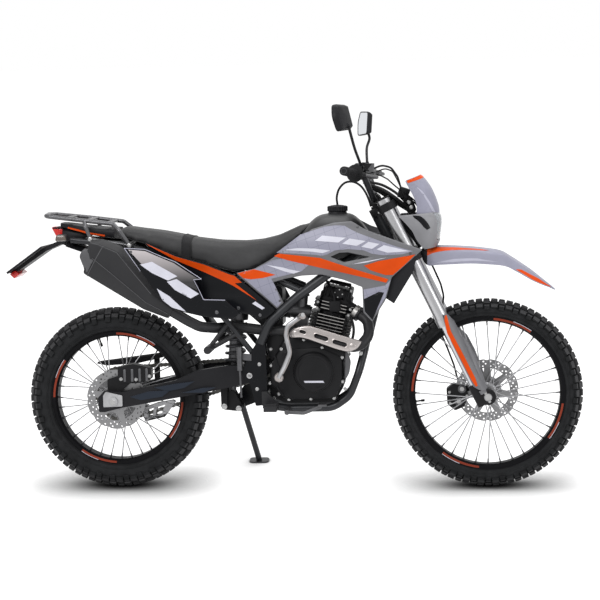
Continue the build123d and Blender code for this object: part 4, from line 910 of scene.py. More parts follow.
def knob(carcass, centre, start, end, middle, half_angle, height, flare=0.16):
    """One tread block: a run along the section by a run round the wheel."""
    layers = ((-1.5, 1 + flare, 1.2), (height - 1.3, 1.0, 0.0), (height, 0.9, -1.3))
    points = []
    for lift, wide, grow in layers:
        low, high = start - grow, end + grow
        runs = [low, (2 * low + high) / 3, (low + 2 * high) / 3, high]
        outline = [(run, -1) for run in runs] + [(run, 1) for run in reversed(runs)]
        for run, sense in outline:
            radius, y = carcass.spot(run, lift)
            points.append(on_wheel(centre, radius, y, middle + sense * half_angle * wide))
    around = len(outline)
    faces = grid_faces(len(layers), around, wrap_columns=True)
    top = len(points) - around
    last = len(points) - 1
    faces += [(top + i, top + i + 1, last - 1 - i, last - i) for i in range(3)]
    return points, faces


# Each size is the radius, half the width, the crown's radius, the rim's radius, half the
# width at the beads and the height of a tread block.
FRONT_RIM_R = 281
REAR_RIM_R = 249
FRONT_TYRE = (FRONT_R, 43, 52, FRONT_RIM_R, 25, 11)
REAR_TYRE = (REAR_R, 55, 62, REAR_RIM_R, 31, 12.5)
TYRE_STEPS = 144


def tyre(name, node, body, centre, size, rows, count):
    """Carcass with sidewall ribs and rows of tread blocks."""
    radius, half, _, rim_r, _, height = size
    profile = tyre_profile(*size)
    carcass = Carcass(profile)
    section = [(r, -y) for r, y in reversed(profile)] + profile[1:]
    heap = Heap()
    heap.add(wheel_turn(centre, [section] * TYRE_STEPS),
             grid_faces(TYRE_STEPS, len(section), True))
    rib = [(rim_r + 13, half - 9.0), (rim_r + 14, half - 6.6), (rim_r + 16, half - 6.2),
           (rim_r + 17, half - 8.4)]
    for side in BOTH:
        ring = [(r, side * y) for r, y in rib]
        heap.add(wheel_turn(centre, [ring] * TYRE_STEPS), grid_faces(TYRE_STEPS, len(ring), True))
    pitch = 2 * pi / count
    for start, end, phase, share, tall in rows:
        sides = (1,) if start < 0 else BOTH
        for i in range(count):
            middle = (i + phase) * pitch
            for side in sides:
                low, high = sorted((side * start, side * end))
                heap.add(*knob(carcass, centre, low, high, middle, pitch * share / 2,
                               height * tall))
    made = heap.make(name, "tyre_rubber", body, slot="tyre_rubber", sharp=28)
    top = radius - height * 0.75

    def on_a_knob(x, y, z):
        return hypot(x - centre[0], z - centre[1]) > top - max(0, abs(y) - 12) * 0.55

    second_material(made, "knob_rubber", on_a_knob)
    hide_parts(node)


# Each row is its start and end from the crown, its phase and length as shares of the pitch,
# and its height as a share of the full block.
FRONT_ROWS = (
    (2.5, 14.5, 0.0, 0.40, 1.0),
    (-8.5, 8.5, 0.5, 0.34, 1.0),
    (17.0, 29.5, 0.5, 0.40, 1.0),
    (31.0, 44.0, 0.0, 0.46, 0.92),
    (33.5, 50.0, 0.5, 0.36, 0.72),
)
REAR_ROWS = (
    (3.0, 19.0, 0.0, 0.40, 1.0),
    (-12.0, 12.0, 0.5, 0.34, 1.0),
    (22.0, 38.0, 0.5, 0.40, 1.0),
    (39.0, 57.0, 0.0, 0.46, 0.92),
    (42.0, 66.0, 0.5, 0.38, 0.7),
)
tyre("front_tyre_tread", "front_tyre", "front_wheel", FRONT_AXLE, FRONT_TYRE, FRONT_ROWS, 38)
tyre("rear_tyre_tread", "rear_tyre", "rear_wheel", REAR_AXLE, REAR_TYRE, REAR_ROWS, 36)


def arc_band(centre, section, start, end):
    """A thin band lying on a wheel, from a section of (radius, y), turned from start to end."""
    turns = np.radians(np.linspace(start, end, 14))
    return loft([[on_wheel(centre, r, y, t) for r, y in section] for t in turns])


def rim_stripes(label, body, centre, flange_r, half, arcs):
    """Red arcs with a fine white line on the side faces of the rim."""
    red = Heap()
    white = Heap()
    for start, end in arcs:
        for side in BOTH:
            top, low = side * (half + 0.6), side * (half - 0.2)
            for heap, first, last, stop in ((red, 4.5, 12.3, end),
                                            (white, 4.2, 2.6, (start + end) / 2)):
                a, b = flange_r - first, flange_r - last
                heap.add(*arc_band(centre, [(a, top), (b, top), (b, low), (a, low)], start, stop))
    red.make(label + "_rim_stripes", "rim_red", body)
    white.make(label + "_rim_lines", "panel_white", body)


rim_stripes("front", "front_wheel", FRONT_AXLE, FRONT_RIM_R, 27,
            ((55, 85), (149, 178), (233, 263), (323, 352)))
rim_stripes("rear", "rear_wheel", REAR_AXLE, REAR_RIM_R, 33,
            ((54, 90), (144, 179), (234, 267), (322, 356)))

SPOKES = 36
SPOKE_LEAD = 34  # degrees from a spoke's rim end to its hub end
FRONT_INNER_R = 262
REAR_INNER_R = 230


def nipples(label, body, centre, inner_r, flange_r, flange_y):
    """Spoke nipples inside the rim, each pointing at its hole in the hub's flange."""
    heap = Heap()
    for i in range(SPOKES):
        side = 1 if i % 2 else -1
        lead = SPOKE_LEAD if (i // 2) % 2 else -SPOKE_LEAD
        turn = 2 * pi * i / SPOKES
        hub_end = np.array(on_wheel(centre, flange_r, side * flange_y, turn + radians(lead)))
        rim_end = np.array(on_wheel(centre, inner_r + 1, side * 4, turn))
        way = unit(hub_end - rim_end)
        profile = [(0, 3.6), (0.3, 3.4), (0.34, 2.8), (1, 2.5)]
        heap.add(*turned(profile, rim_end, rim_end + way * 17, 8))
    heap.make(label + "_nipples", "dark_alloy", body)


def valve(label, body, centre, inner_r, turn):
    """Valve stem with its cap, pointing at the axle."""
    way = np.array((cos(radians(turn)), 0, sin(radians(turn))))
    start = np.array((centre[0], 0, centre[1])) + way * (inner_r + 2)
    profile = [(0, 6.5), (0.1, 6.5), (0.12, 3), (0.6, 3), (0.62, 4.6), (0.97, 4.6), (1, 3.6)]
    heap = Heap().add(*turned(profile, start, start - way * 34, 14))
    heap.make(label + "_valve", "rubber_black", body)


nipples("front", "front_wheel", FRONT_AXLE, FRONT_INNER_R, 27, 34)
nipples("rear", "rear_wheel", REAR_AXLE, REAR_INNER_R, 36, 40)
valve("front", "front_wheel", FRONT_AXLE, FRONT_INNER_R, 187)
valve("rear", "rear_wheel", REAR_AXLE, REAR_INNER_R, 108)


def wave_disc(name, node, body, centre, radius, y_middle, lobes, bore, carrier_r):
    """Brake disc: waved edge, drilled swept band and windows between its arms."""

    def spot(reach, angle):
        return centre[0] + reach * cos(angle), centre[1] + reach * sin(angle)

    outline = [spot(radius - 3.6 * max(0, cos(lobes * t)) ** 3, t) for t in ring_turns(lobes * 14)]
    axle_hole = circle(*centre, bore, 36)
    holes = [axle_hole]
    for i in range(lobes):
        middle = 2 * pi * (i + 0.5) / lobes
        for turn, reach, size in ((-0.17, 8, 3.4), (0.17, 8, 3.4), (-0.26, 17, 3.0),
                                  (0.0, 17, 3.4), (-0.12, 25, 2.8), (0.13, 25, 3.0)):
            holes.append(circle(*spot(radius - reach, middle + turn * 10 / lobes), size, 10))
    arms = lobes // 2 + 1
    for i in range(arms):
        middle = 2 * pi * (i + 0.25) / arms
        holes.append([spot(reach, middle + share * 2 * pi / arms)
                      for reach, shares in ((radius - 32, np.linspace(-0.36, 0.36, 6)),
                                            (carrier_r + 9, (0.22, 0.0, -0.22)))
                      for share in shares])
    heap = Heap()
    heap.add(*plate_xz(outline, y_middle - 2, y_middle + 2, holes, 14))
    carrier = circle(*centre, carrier_r, 48)
    heap.add(*plate_xz(carrier, y_middle - 5, y_middle + 5, [axle_hole], 30))
    for i in range(arms):
        place = spot(carrier_r - 7, 2 * pi * (i + 0.75) / arms)
        heap.bolts([place], abs(y_middle) + 5, 4.4, 5, LEFT if y_middle > 0 else RIGHT)
    made = heap.make(name, "disc_steel", body, slot="disc_steel", sharp=25)
    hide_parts(node)


wave_disc("front_disc_wave", "front_brake_disc", "front_wheel", FRONT_AXLE, 115, 52, 12, 22, 44)
wave_disc("rear_disc_wave", "rear_brake_disc", "rear_wheel", REAR_AXLE, 110, -64, 10, 24, 42)


# ---- painted panels -----------------------------------------------------------------
def along_line(line, spread=28):
    """Half-width as a smoothed function of x from (x, y) knots."""
    xs = [x for x, _ in line]
    ys = [abs(y) for _, y in line]

    def half_width(x):
        samples = [np.interp(x + shift, xs, ys) for shift in np.linspace(-spread, spread, 5)]
        return sum(samples) / len(samples)

    return half_width


def ease(value):
    """Smooth step from 0 to 1."""
    share = np.clip(value, 0, 1)
    return share * share * (3 - 2 * share)


SHROUD_LINE = along_line([(400, 117), (440, 121), (560, 128), (700, 144), (820, 162),
                          (930, 176), (1030, 181), (1140, 172), (1180, 168)])


def shroud_surface(x, z):
    """Shroud: tips in to the tank above, and under the orange ridge."""
    crest = np.interp(x, (430, 620, 768, 1008, 1100), (800, 863, 850, 773, 750))
    above = np.clip(z - 880, 0, None)
    under = ease((crest - z) / 34) * ease((930 - x) / 60) * ease((x - 520) / 60)
    leg = ease((760 - z) / 60) * ease((650 - x) / 60)
    return SHROUD_LINE(x) - 0.0026 * above**2 - 9 * under - 4 * leg


SHROUD_OUTLINE = [(1133, 880), (934, 953), (882, 983), (817, 978), (740, 956), (627, 875),
                  (584, 846), (530, 817), (470, 803), (463, 799), (608, 669), (633, 692),
                  (596, 766), (640, 779), (700, 790), (773, 794), (850, 776), (919, 750),
                  (921, 660), (952, 627), (1001, 704), (1024, 784)]
VENT = [(806, 858), (839, 873), (870, 874), (950, 857), (855, 839)]

shroud = Skin(SHROUD_OUTLINE, shroud_surface, roll=5, corner=4, holes=[VENT])


def shrouds():
    """Both shrouds, each with its vent."""
    made = both_sides("shroud_panels", shroud, "plain_grey", slot="panel_grey",
                      thick=3.4)
    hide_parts("shrouds")


def shroud_graphics():
    """Printed sheets, orange shapes, a dark insert and pale bars where lettering would be."""
    sheet_top = [(612, 874), (656, 906), (699, 938), (737, 950), (786, 965), (824, 969),
                 (857, 968), (880, 955), (909, 941), (975, 917), (1045, 892), (1100, 876),
                 (1064, 866), (997, 863), (955, 869), (927, 881), (870, 886), (822, 881),
                 (798, 868), (776, 862), (755, 866)]
    sheet_low = [(540, 819), (590, 845), (620, 853), (700, 846), (735, 836), (700, 806),
                 (590, 780), (606, 748), (624, 694), (609, 676), (478, 795), (500, 806)]
    tab = [(924, 742), (1000, 756), (1012, 768), (1020, 776), (1000, 712), (952, 640),
           (927, 664)]
    both_sides("shroud_print", shroud, "panel_grey", [sheet_top, sheet_low, tab],
               slot="panel_grey")
    band = [(620, 871), (603, 862), (650, 847), (756, 822), (926, 785), (1004, 766),
            (1012, 778), (890, 815), (768, 855)]
    triangle = [(926, 827), (979, 843), (1108, 864), (1068, 826), (1028, 793), (1002, 793),
                (950, 810)]
    arrow = [(468, 801), (529, 815), (606, 794), (560, 783), (516, 779), (490, 783)]
    both_sides("shroud_orange", shroud, "panel_orange", [band, triangle, arrow],
               slot="panel_grey", lift=1.5)
    insert = [(924, 708), (978, 734), (996, 731), (954, 634), (927, 664)]
    both_sides("shroud_insert", shroud, "panel_black", [insert],
               slot="panel_black", lift=1.5)
    bars = [
        [(752, 916), (778, 934), (862, 926), (836, 909)],
        [(850, 905), (876, 923), (934, 914), (902, 897)],
        [(918, 894), (944, 911), (982, 903), (956, 886)],
        [(972, 884), (998, 899), (1088, 876), (1010, 872)],
        [(640, 884), (689, 890), (751, 888), (807, 881), (779, 872), (741, 877)],
        [(570, 831), (639, 819), (658, 813), (696, 806), (672, 798), (639, 806)],
        [(884, 832), (926, 841), (988, 852), (1010, 855), (931, 837)],
    ]
    both_sides("shroud_bars", shroud, "panel_white", bars, lift=1.7)


SCOOP_LINE = along_line([(900, 142), (930, 146), (1000, 158), (1060, 168), (1125, 173)])
scoop = Skin([(996, 712), (1008, 796), (1060, 838), (1100, 872), (1112, 852), (1098, 800),
              (1062, 742), (1030, 692)], lambda x, z: SCOOP_LINE(x), roll=7, corner=8)


shrouds()
shroud_graphics()
both_sides("shroud_scoops", scoop, "black_plastic", thick=3)
panel_screws("shroud_screws", shroud, ((1090, 868), (620, 700), (905, 962)), 4, 2.4)

SIDE_LINE = along_line([(90, 110), (120, 112), (240, 118), (400, 124), (520, 132), (640, 143)])


def side_surface(x, z):
    """Side panel: a shallow hollow between the seat edge and the lower lip."""
    edge = np.interp(x, (120, 243, 349, 456, 604), (917, 865, 836, 795, 665))
    hollow = ease((edge - z) / 26) * ease((z - 690) / 60)
    return SIDE_LINE(x) - 5 * hollow


SIDE_OUTLINE = [(131, 914), (243, 866), (349, 837), (440, 801), (456, 797), (530, 733),
                (604, 667), (572, 641), (545, 632), (520, 648), (485, 656), (452, 672),
                (392, 692), (330, 706), (250, 780), (150, 872)]
side_panel = Skin(SIDE_OUTLINE, side_surface, roll=3.5, corner=5)


def side_panels():
    """Both side panels, with the orange sweep and a pale fleck."""
    made = both_sides("side_covers", side_panel, "panel_black",
                      slot="panel_black", thick=3.2)
    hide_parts("side_panels")
    sweep = [(136, 911), (245, 863), (349, 833), (440, 797), (458, 792), (484, 768),
             (458, 765), (536, 704), (450, 757), (418, 773), (350, 805), (240, 852),
             (180, 886)]
    both_sides("side_sweep", side_panel, "panel_orange", [sweep],
               slot="panel_grey", lift=1.5)
    fleck = [[(520, 692), (532, 700), (566, 676), (556, 670)]]
    both_sides("side_fleck", side_panel, "panel_white", fleck, lift=1.2)
    panel_screws("side_screws", side_panel, ((548, 650), (470, 676)), 4.5, 2.6)


side_panels()

NUMBER_OUTLINE = [(72, 901), (104, 901), (147, 896), (212, 867), (257, 849), (348, 788),
                  (320, 786), (337, 750), (354, 714), (431, 711), (483, 664), (454, 643),
                  (359, 651), (287, 668), (235, 688), (187, 731), (128, 818)]


def number_surface(x, z):
    """Number panel: flat, bulging a little between its ends."""
    return 192.5 + 4.5 * ease((x - 90) / 120) * ease((470 - x) / 150)


number_panel = Skin(NUMBER_OUTLINE, number_surface, roll=4, corner=5)


def number_panels():
    """The panel on the silencer, with plain blocks where a number would be."""
    heap = Heap().add(*number_panel.shape(-1, thick=3.5))
    made = heap.make("number_plate", "panel_black", "chassis", slot="panel_black")
    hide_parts("number_panel")
    sheets = {
        "panel_fade": [[(86, 896), (147, 890), (212, 862), (250, 846), (300, 812), (340, 786),
                        (318, 783), (334, 748), (270, 776), (210, 800), (150, 826)]],
        "panel_white": [[(128, 842), (171, 852), (262, 799), (228, 784), (170, 812)],
                        [(224, 780), (259, 789), (338, 735), (308, 719), (252, 750)],
                        [(187, 756), (231, 728), (290, 672), (240, 687), (206, 714)]],
    }
    for material, outlines in sheets.items():
        marks = Heap()
        for outline in outlines:
            lift = 1.9 if material == "panel_white" else 0.9
            marks.add(*number_panel.decal(outline, -1, lift=lift))
        marks.make(material + "_marks", material, "chassis")
    line = [(128, 818), (72, 901), (147, 896), (212, 867), (257, 849), (348, 788),
            (320, 786), (337, 750), (354, 714), (431, 711)]
    bead = Heap()
    for a, b in zip(line, line[1:]):
        spots = np.array([a, b], float)
        y = number_panel.half_width(spots)
        path = [(x, -w - 0.6, z) for (x, z), w in zip(spots, y)]
        bead.add(*tube(path, 1.3, 6))
    bead.make("number_edge", "panel_pale", "chassis")
    panel_screws("number_screws", number_panel, ((400, 668), (96, 888)), 5, 2.4, RIGHT)


number_panels()

# ---- seat -----------------------------------------------------------------------------
SEAT_TOP = [(20, 966), (53, 970), (96, 963), (180, 952), (242, 940), (304, 926), (396, 914),
            (487, 911), (549, 916), (610, 930), (671, 957), (712, 978), (738, 990)]
SEAT_LOW = [(20, 933), (61, 925), (131, 904), (243, 857), (349, 828), (438, 797), (463, 793),
            (523, 804), (578, 830), (622, 862), (680, 918), (738, 978)]
SEAT_HALF = [(20, 92), (60, 100), (100, 106), (240, 113), (400, 115), (540, 110), (640, 91),
             (700, 80), (738, 70)]
SEAT_ARCH = 21


def seat_values(x):
    """Top, lower edge and half-width of the seat at x."""
    return [np.interp(x, *zip(*line)) for line in (SEAT_TOP, SEAT_LOW, SEAT_HALF)]


def seat_section(x, shrink=0.0):
    """One closed section of the seat: crowned top, rounded shoulders, tucked flanks."""
    top, low, half = seat_values(x)
    top, low, half = top - shrink, low + shrink * 0.4, half - shrink
    tall = max(top - low, 6)
    ring = []
    for turn in np.linspace(0, pi, SEAT_ARCH):
        y = half * signed_power(cos(turn), 0.52)
        rise = sin(turn) ** 0.62
        pull = 1 - 0.05 * (1 - rise)
        ring.append((x, y * pull, low + tall * rise))
    for share in (-0.86, -0.4, 0.4, 0.86):
        ring.append((x, half * share, low + min(9, tall * 0.3)))
    return ring


def seat_rings(shrink=0.0):
    """Sections from tail to nose, with each end rounded over."""
    rings = [seat_section(x, shrink) for x in np.linspace(22 + shrink, 735 - shrink, 74)]
    for end, sense in ((0, -1), (-1, 1)):
        base = np.array(rings[end])
        middle = base.mean(axis=0)
        caps = []
        for scale, shift in ((0.9, 2.5), (0.6, 4.0)):
            cap = middle + (base - middle) * scale + (sense * shift, 0, 0)
            caps.append([tuple(p) for p in cap])
        rings = [*reversed(caps), *rings] if sense < 0 else [*rings, *caps]
    return rings


CLOTH_FRAMES = 20


def puffed(made, voxel, cap):
    """Remesh a closed form, let cloth under pressure round it by at most cap, and refine it."""
    bpy.context.view_layer.objects.active = made
    remesh = made.modifiers.new("remesh", "REMESH")
    remesh.mode = "VOXEL"
    remesh.voxel_size = voxel * MM
    bpy.ops.object.modifier_apply(modifier="remesh")
    count = len(made.data.vertices)
    before = np.zeros(count * 3)
    made.data.vertices.foreach_get("co", before)
    cloth = made.modifiers.new("cloth", "CLOTH")
    settings = cloth.settings
    settings.use_pressure = True
    settings.uniform_pressure_force = 4
    settings.mass = 0.3
    settings.tension_stiffness = 30
    settings.compression_stiffness = 30
    settings.bending_stiffness = 4
    settings.effector_weights.gravity = 0
    cloth.point_cache.frame_start = 1
    cloth.point_cache.frame_end = CLOTH_FRAMES
    scene = bpy.context.scene
    for number in range(1, CLOTH_FRAMES + 1):
        scene.frame_set(number)
    bpy.context.view_layer.update()
    graph = bpy.context.evaluated_depsgraph_get()
    shaped = made.evaluated_get(graph)
    after = np.zeros(count * 3)
    shaped.data.vertices.foreach_get("co", after)
    made.modifiers.remove(cloth)
    scene.frame_set(1)
    move = (after - before).reshape(-1, 3)
    long = np.linalg.norm(move, axis=1, keepdims=True)
    move *= np.minimum(1, cap * MM / np.maximum(long, 1e-9))
    made.data.vertices.foreach_set("co", before + move.ravel())
    soften = made.modifiers.new("soften", "SMOOTH")
    soften.factor = 0.6
    soften.iterations = 6
    bpy.ops.object.modifier_apply(modifier="soften")
    refine = made.modifiers.new("refine", "SUBSURF")
    refine.levels = 1
    refine.render_levels = 1
    bpy.ops.object.modifier_apply(modifier="refine")
    made.data.shade_smooth()


SEAT_SHRINK = 4.0
SEAT_VOXEL = 6
SEAT_SWELL = 5


def seat():
    """The seat starts smaller than its cover and swells to it."""
    points, faces = loft(seat_rings(SEAT_SHRINK))
    made = piece("seat_cover", points, faces, "seat_vinyl", "chassis", slot="seat_vinyl")
    puffed(made, SEAT_VOXEL, SEAT_SWELL)
    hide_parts("seat")


def seat_outline_at(x, lift):
    """The visible arch of the seat at x, a little above its cover."""
    ring = seat_section(x)[:SEAT_ARCH]
    middle = np.array((x, 0, seat_values(x)[1]))
    return [np.array(p) + unit(p - middle) * lift for p in ring]


def band_over_seat(x, width, lift, thick):
    """A flat strap across the seat, with a raised binding along each edge."""
    profile = [(-width / 2, 0), (-width / 2, thick + 1), (-width / 2 + 4, thick + 1),
               (-width / 2 + 5, thick), (width / 2 - 5, thick), (width / 2 - 4, thick + 1),
               (width / 2, thick + 1), (width / 2, 0)]
    rings = [[seat_outline_at(x + along, lift + up)[i] for along, up in profile]
             for i in range(SEAT_ARCH)]
    return Heap().add(*loft(rings))


def seat_trim():
    """The strap, and a welt low along each side."""
    strap = band_over_seat(281, 34, 0.6, 2.2)
    strap.make("seat_strap", "rubber_black", "chassis")
    welt = Heap()
    for side in BOTH:
        line = []
        for x in np.linspace(60, 600, 40):
            top, low, half = seat_values(x)
            line.append((x, side * (half * 0.955), low + (top - low) * 0.14))
        welt.add(*tube(line, 1.6, 6))
    welt.make("seat_welts", "rubber_black", "chassis")


seat()
seat_trim()


# ---- tank ------------------------------------------------------------------------------
TANK_TOP = [(642, 884), (668, 912), (700, 950), (735, 987), (760, 1002), (790, 1007),
            (830, 1008), (874, 1005), (902, 985), (926, 955), (944, 926)]
TANK_HALF = [(642, 88), (700, 112), (790, 126), (860, 116), (914, 70), (944, 42)]


def tank():
    """The tank's top, crowned and narrowing to the steering head."""
    rings = []
    for x in np.linspace(644, 943, 44):
        top = np.interp(x, *zip(*TANK_TOP))
        half = np.interp(x, *zip(*TANK_HALF))
        low = np.interp(x, (644, 700, 850, 943), (874, 850, 850, 900))
        ring = [(x, half * signed_power(cos(turn), 0.7), low + (top - low) * sin(turn) ** 0.66)
                for turn in np.linspace(0, pi, 25)]
        ring += [(x, half * share, low - 1) for share in (-0.5, 0.5)]
        rings.append(ring)
    smoothed = np.array(rings)
    for _ in range(3):
        smoothed[1:-1] = (smoothed[:-2] + 2 * smoothed[1:-1] + smoothed[2:]) / 4
    made = piece("tank_cover", *loft(smoothed.tolist()), "tank_black", "chassis",
                 slot="tank_black", sharp=60)
    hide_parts("fuel_tank")


def fuel_cap():
    """Ribbed cap on its neck, with the hose spout in the middle."""
    heap = Heap()
    heap.add(*turned([(0, 36), (0.5, 34), (1, 32)], (824, 0, 1003), (824, 0, 1014), 36))
    rings = []
    for z, grow in ((1013, -2), (1015, 0), (1030, 0), (1033, -3)):
        ring = []
        for turn in ring_turns(96):
            lobe = 1.2 * cos(24 * turn) if grow == 0 else 0
            radius = 36 + grow + lobe
            ring.append((824 + radius * cos(turn), radius * sin(turn), z))
        rings.append(ring)
    heap.add(*loft(rings))
    dome = [(0, 26), (0.4, 25), (0.8, 17), (1, 7)]
    heap.add(*turned(dome, (824, 0, 1032.5), (824, 0, 1037), 28))
    made = heap.make("fuel_cap_ribbed", "black_plastic", "chassis", slot="black_plastic")
    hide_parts("fuel_cap")


tank()
fuel_cap()

# ---- front end --------------------------------------------------------------------------
class Sheet:
    """A curved sheet given by rows of points; s runs over the rows, t along each row."""

    def __init__(self, rows):
        self.rows = np.array(rows, float)
        ahead = np.gradient(self.rows, axis=0)
        along = np.gradient(self.rows, axis=1)
        normal = np.cross(ahead, along)
        normal /= np.linalg.norm(normal, axis=2, keepdims=True) + 1e-9
        middle = self.rows.reshape(-1, 3).mean(axis=0)
        outward = np.sum(normal * (self.rows - middle), axis=2).sum()
        self.normal = normal if outward > 0 else -normal

    def shell(self, thick, hole=None):
        """Points and faces of the sheet with thickness; hole(s, t) drops faces."""
        count, width, _ = self.rows.shape
        outer = self.rows.reshape(-1, 3)
        inner = (self.rows - self.normal * thick).reshape(-1, 3)
        size = len(outer)
        quads = []
        for i in range(count - 1):
            for j in range(width - 1):
                s, t = (i + 0.5) / (count - 1), (j + 0.5) / (width - 1)
                if hole and hole(s, t):
                    continue
                a = i * width + j
                quads.append((a, a + 1, a + 1 + width, a + width))
        used = {}
        for quad in quads:
            for a, b in zip(quad, (*quad[1:], quad[0])):
                used[(a, b)] = used.get((a, b), 0) + 1
        faces = list(quads) + [tuple(size + i for i in reversed(q)) for q in quads]
        for a, b in used:
            if (b, a) not in used:
                faces.append((b, a, size + a, size + b))
        return np.concatenate((outer, inner)).tolist(), faces

    def at(self, s, t):
        """Points and normals at shares s and t, both arrays."""
        count, width, _ = self.rows.shape
        i = np.clip(s, 0, 1) * (count - 1)
        j = np.clip(t, 0, 1) * (width - 1)
        i0 = np.minimum(i.astype(int), count - 2)
        j0 = np.minimum(j.astype(int), width - 2)
        u, v = (i - i0)[:, None], (j - j0)[:, None]

        def mixed(values):
            low = values[i0, j0] * (1 - v) + values[i0, j0 + 1] * v
            high = values[i0 + 1, j0] * (1 - v) + values[i0 + 1, j0 + 1] * v
            return low * (1 - u) + high * u

        return mixed(self.rows), mixed(self.normal)

    def patch(self, outline, lift=0.5, thick=0.4, step=0.02):
        """A thin print over an outline given in shares (s, t)."""
        places, triangles, rims = filled(outline, (), step)
        spots, normals = self.at(places[:, 0], places[:, 1])
        top = spots + normals * lift
        low = top - normals * thick
        return thickened(places, triangles, rims, top.tolist(), low.tolist())


# x and z of the crown, x and z of the edge, half-width
FENDER_STATIONS = [
    (1118, 868, 1128, 850, 46), (1136, 877, 1135, 830, 54), (1157, 884, 1152, 816, 61),
    (1190, 885, 1184, 818, 67), (1239, 884, 1235, 820, 71), (1300, 880, 1296, 822, 72),
    (1356, 874, 1354, 819, 70), (1410, 864, 1424, 811, 66), (1445, 845, 1470, 789, 62),
    (1511, 800, 1524, 757, 52), (1560, 761, 1564, 739, 42), (1588, 738, 1589, 729, 30),
    (1607, 721, 1605, 719, 12),
]


def fender_sheet():
    """The fender's skin: a flat top with a crease on each side above its drop."""
    rows = []
    for top_x, top_z, low_x, low_z, half in smooth_line(FENDER_STATIONS, 7):
        row = []
        for t in np.linspace(-1, 1, 33):
            a = abs(t)
            y = half * np.interp(a, (0, 0.3, 0.58, 0.66, 1), (0, 0.42, 0.80, 0.87, 1))
            drop = np.interp(a, (0, 0.3, 0.58, 0.66, 0.8, 1), (0, 0.06, 0.2, 0.3, 0.62, 1))
            x = top_x + (low_x - top_x) * drop
            row.append((x, y * (1 if t > 0 else -1), top_z + (low_z - top_z) * drop))
        rows.append(row)
    return Sheet(rows)


fender = fender_sheet()


def mirrored_patches(sheet, name, material, outlines, slot=None, **more):
    """One print on both halves of a sheet; outlines are for the right half."""
    heap = Heap()
    for outline in outlines:
        heap.add(*sheet.patch(outline, **more))
        heap.add(*sheet.patch([(s, 1 - t) for s, t in outline], **more))
    heap.make(name, material, "steering", slot=slot)


def front_fender():
    """The fender with its orange wedge and tip, a pale streak and a dark root."""
    heap = Heap().add(*fender.shell(3))
    made = heap.make("fender_shell", "smooth_grey", "steering", slot="panel_grey", sharp=40)
    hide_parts("front_fender")
    wedge = [(0.13, 0.12), (0.15, 0.34), (0.52, 0.30), (0.50, 0.26), (0.20, 0.155)]
    tip = [(0.66, 0.03), (0.70, 0.10), (0.80, 0.14), (0.92, 0.10), (0.90, 0.03), (0.78, 0.015)]
    mirrored_patches(fender, "fender_orange", "panel_orange", [wedge, tip],
                     slot="panel_grey")
    streak = [(0.24, 0.03), (0.34, 0.075), (0.46, 0.085), (0.56, 0.05), (0.44, 0.045),
              (0.34, 0.03)]
    mirrored_patches(fender, "fender_streaks", "panel_pale", [streak])
    rear = [(0.0, 0.0), (0.0, 0.36), (0.13, 0.36), (0.15, 0.0)]
    mirrored_patches(fender, "fender_root", "black_plastic", [rear], lift=0.8)


front_fender()

# share up, rear edge x, z and half-width, middle x and z
MASK_STATIONS = [
    (1139, 876, 80, 1184, 884), (1124, 892, 88, 1192, 897), (1110, 913, 95, 1196, 912),
    (1097, 940, 100, 1200, 940), (1080, 962, 103, 1203, 966), (1062, 982, 104, 1202, 988),
    (1050, 994, 103, 1196, 1002), (1054, 999, 100, 1188, 1009),
]


def bowed_sheet(stations, power, columns=41):
    """Rows bowed forward from both rear edges to the middle."""
    rows = []
    for edge_x, edge_z, half, mid_x, mid_z in smooth_line(stations, 5):
        row = []
        for t in np.linspace(-1, 1, columns):
            a = abs(t) * pi / 2
            forward = cos(a) ** power
            outward = sin(a) ** power
            z = edge_z + (mid_z - edge_z) * (1 - abs(t) ** 1.6)
            x = edge_x + (mid_x - edge_x) * forward
            row.append((x, half * outward * (1 if t > 0 else -1), z))
        rows.append(row)
    return Sheet(rows)


mask = bowed_sheet(MASK_STATIONS, 0.78)


def headlight_mask():
    """The mask round the headlight's window, with a dark vent on each side."""

    def window(s, t):
        return abs(t - 0.5) < 0.20 and 0.26 < s < 0.93

    heap = Heap().add(*mask.shell(3.5, window))
    made = heap.make("mask_shell", "hood_grey", "steering", slot="panel_grey", sharp=45)
    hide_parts("headlight_mask")
    vent = [(0.90, 0.08), (0.84, 0.135), (0.50, 0.19), (0.46, 0.14), (0.52, 0.115), (0.76, 0.08)]
    mirrored_patches(mask, "mask_vents", "panel_black", [vent], lift=0.8)


SCREEN_STATIONS = [
    (1112, 1003, 84, 1194, 1000), (1113, 1020, 83, 1193, 1018), (1111, 1042, 80, 1188, 1040),
    (1098, 1072, 74, 1170, 1086), (1084, 1098, 68, 1150, 1118), (1076, 1113, 64, 1136, 1134),
    (1073, 1120, 61, 1126, 1142),
]
screen = bowed_sheet(SCREEN_STATIONS, 0.9, 33)


def windscreen():
    """The small screen above the mask, with its orange band."""
    heap = Heap().add(*screen.shell(3))
    heap.make("mask_screen", "smooth_grey", "steering", slot="panel_grey", sharp=45)
    band = [(0.80, 0.02), (0.985, 0.02), (0.985, 0.5), (0.80, 0.5)]
    mirrored_patches(screen, "screen_band", "panel_orange", [band],
                     slot="panel_grey")
    flash = [[(0.66, 0.10), (0.10, 0.22), (0.03, 0.30), (0.52, 0.16)]]
    mirrored_patches(screen, "screen_flash", "panel_pale", flash)


headlight_mask()
windscreen()


# ---- tail and silencer --------------------------------------------------------------------
def cushion(outline, y0, y1, edge=3.0, corner=4.0, step=14.0):
    """A slab in x and z, between two y, with its edges rounded over."""
    loop = divided(rounded(outline, corner), step)
    rings = []
    for y, gap in ((y0, edge), (y0 + edge * 0.3, edge * 0.3), (y0 + edge, 0),
                   (y1 - edge, 0), (y1 - edge * 0.3, edge * 0.3), (y1, edge)):
        rings.append([(x, y, z) for x, z in inset(loop, gap)])
    return loft(rings)


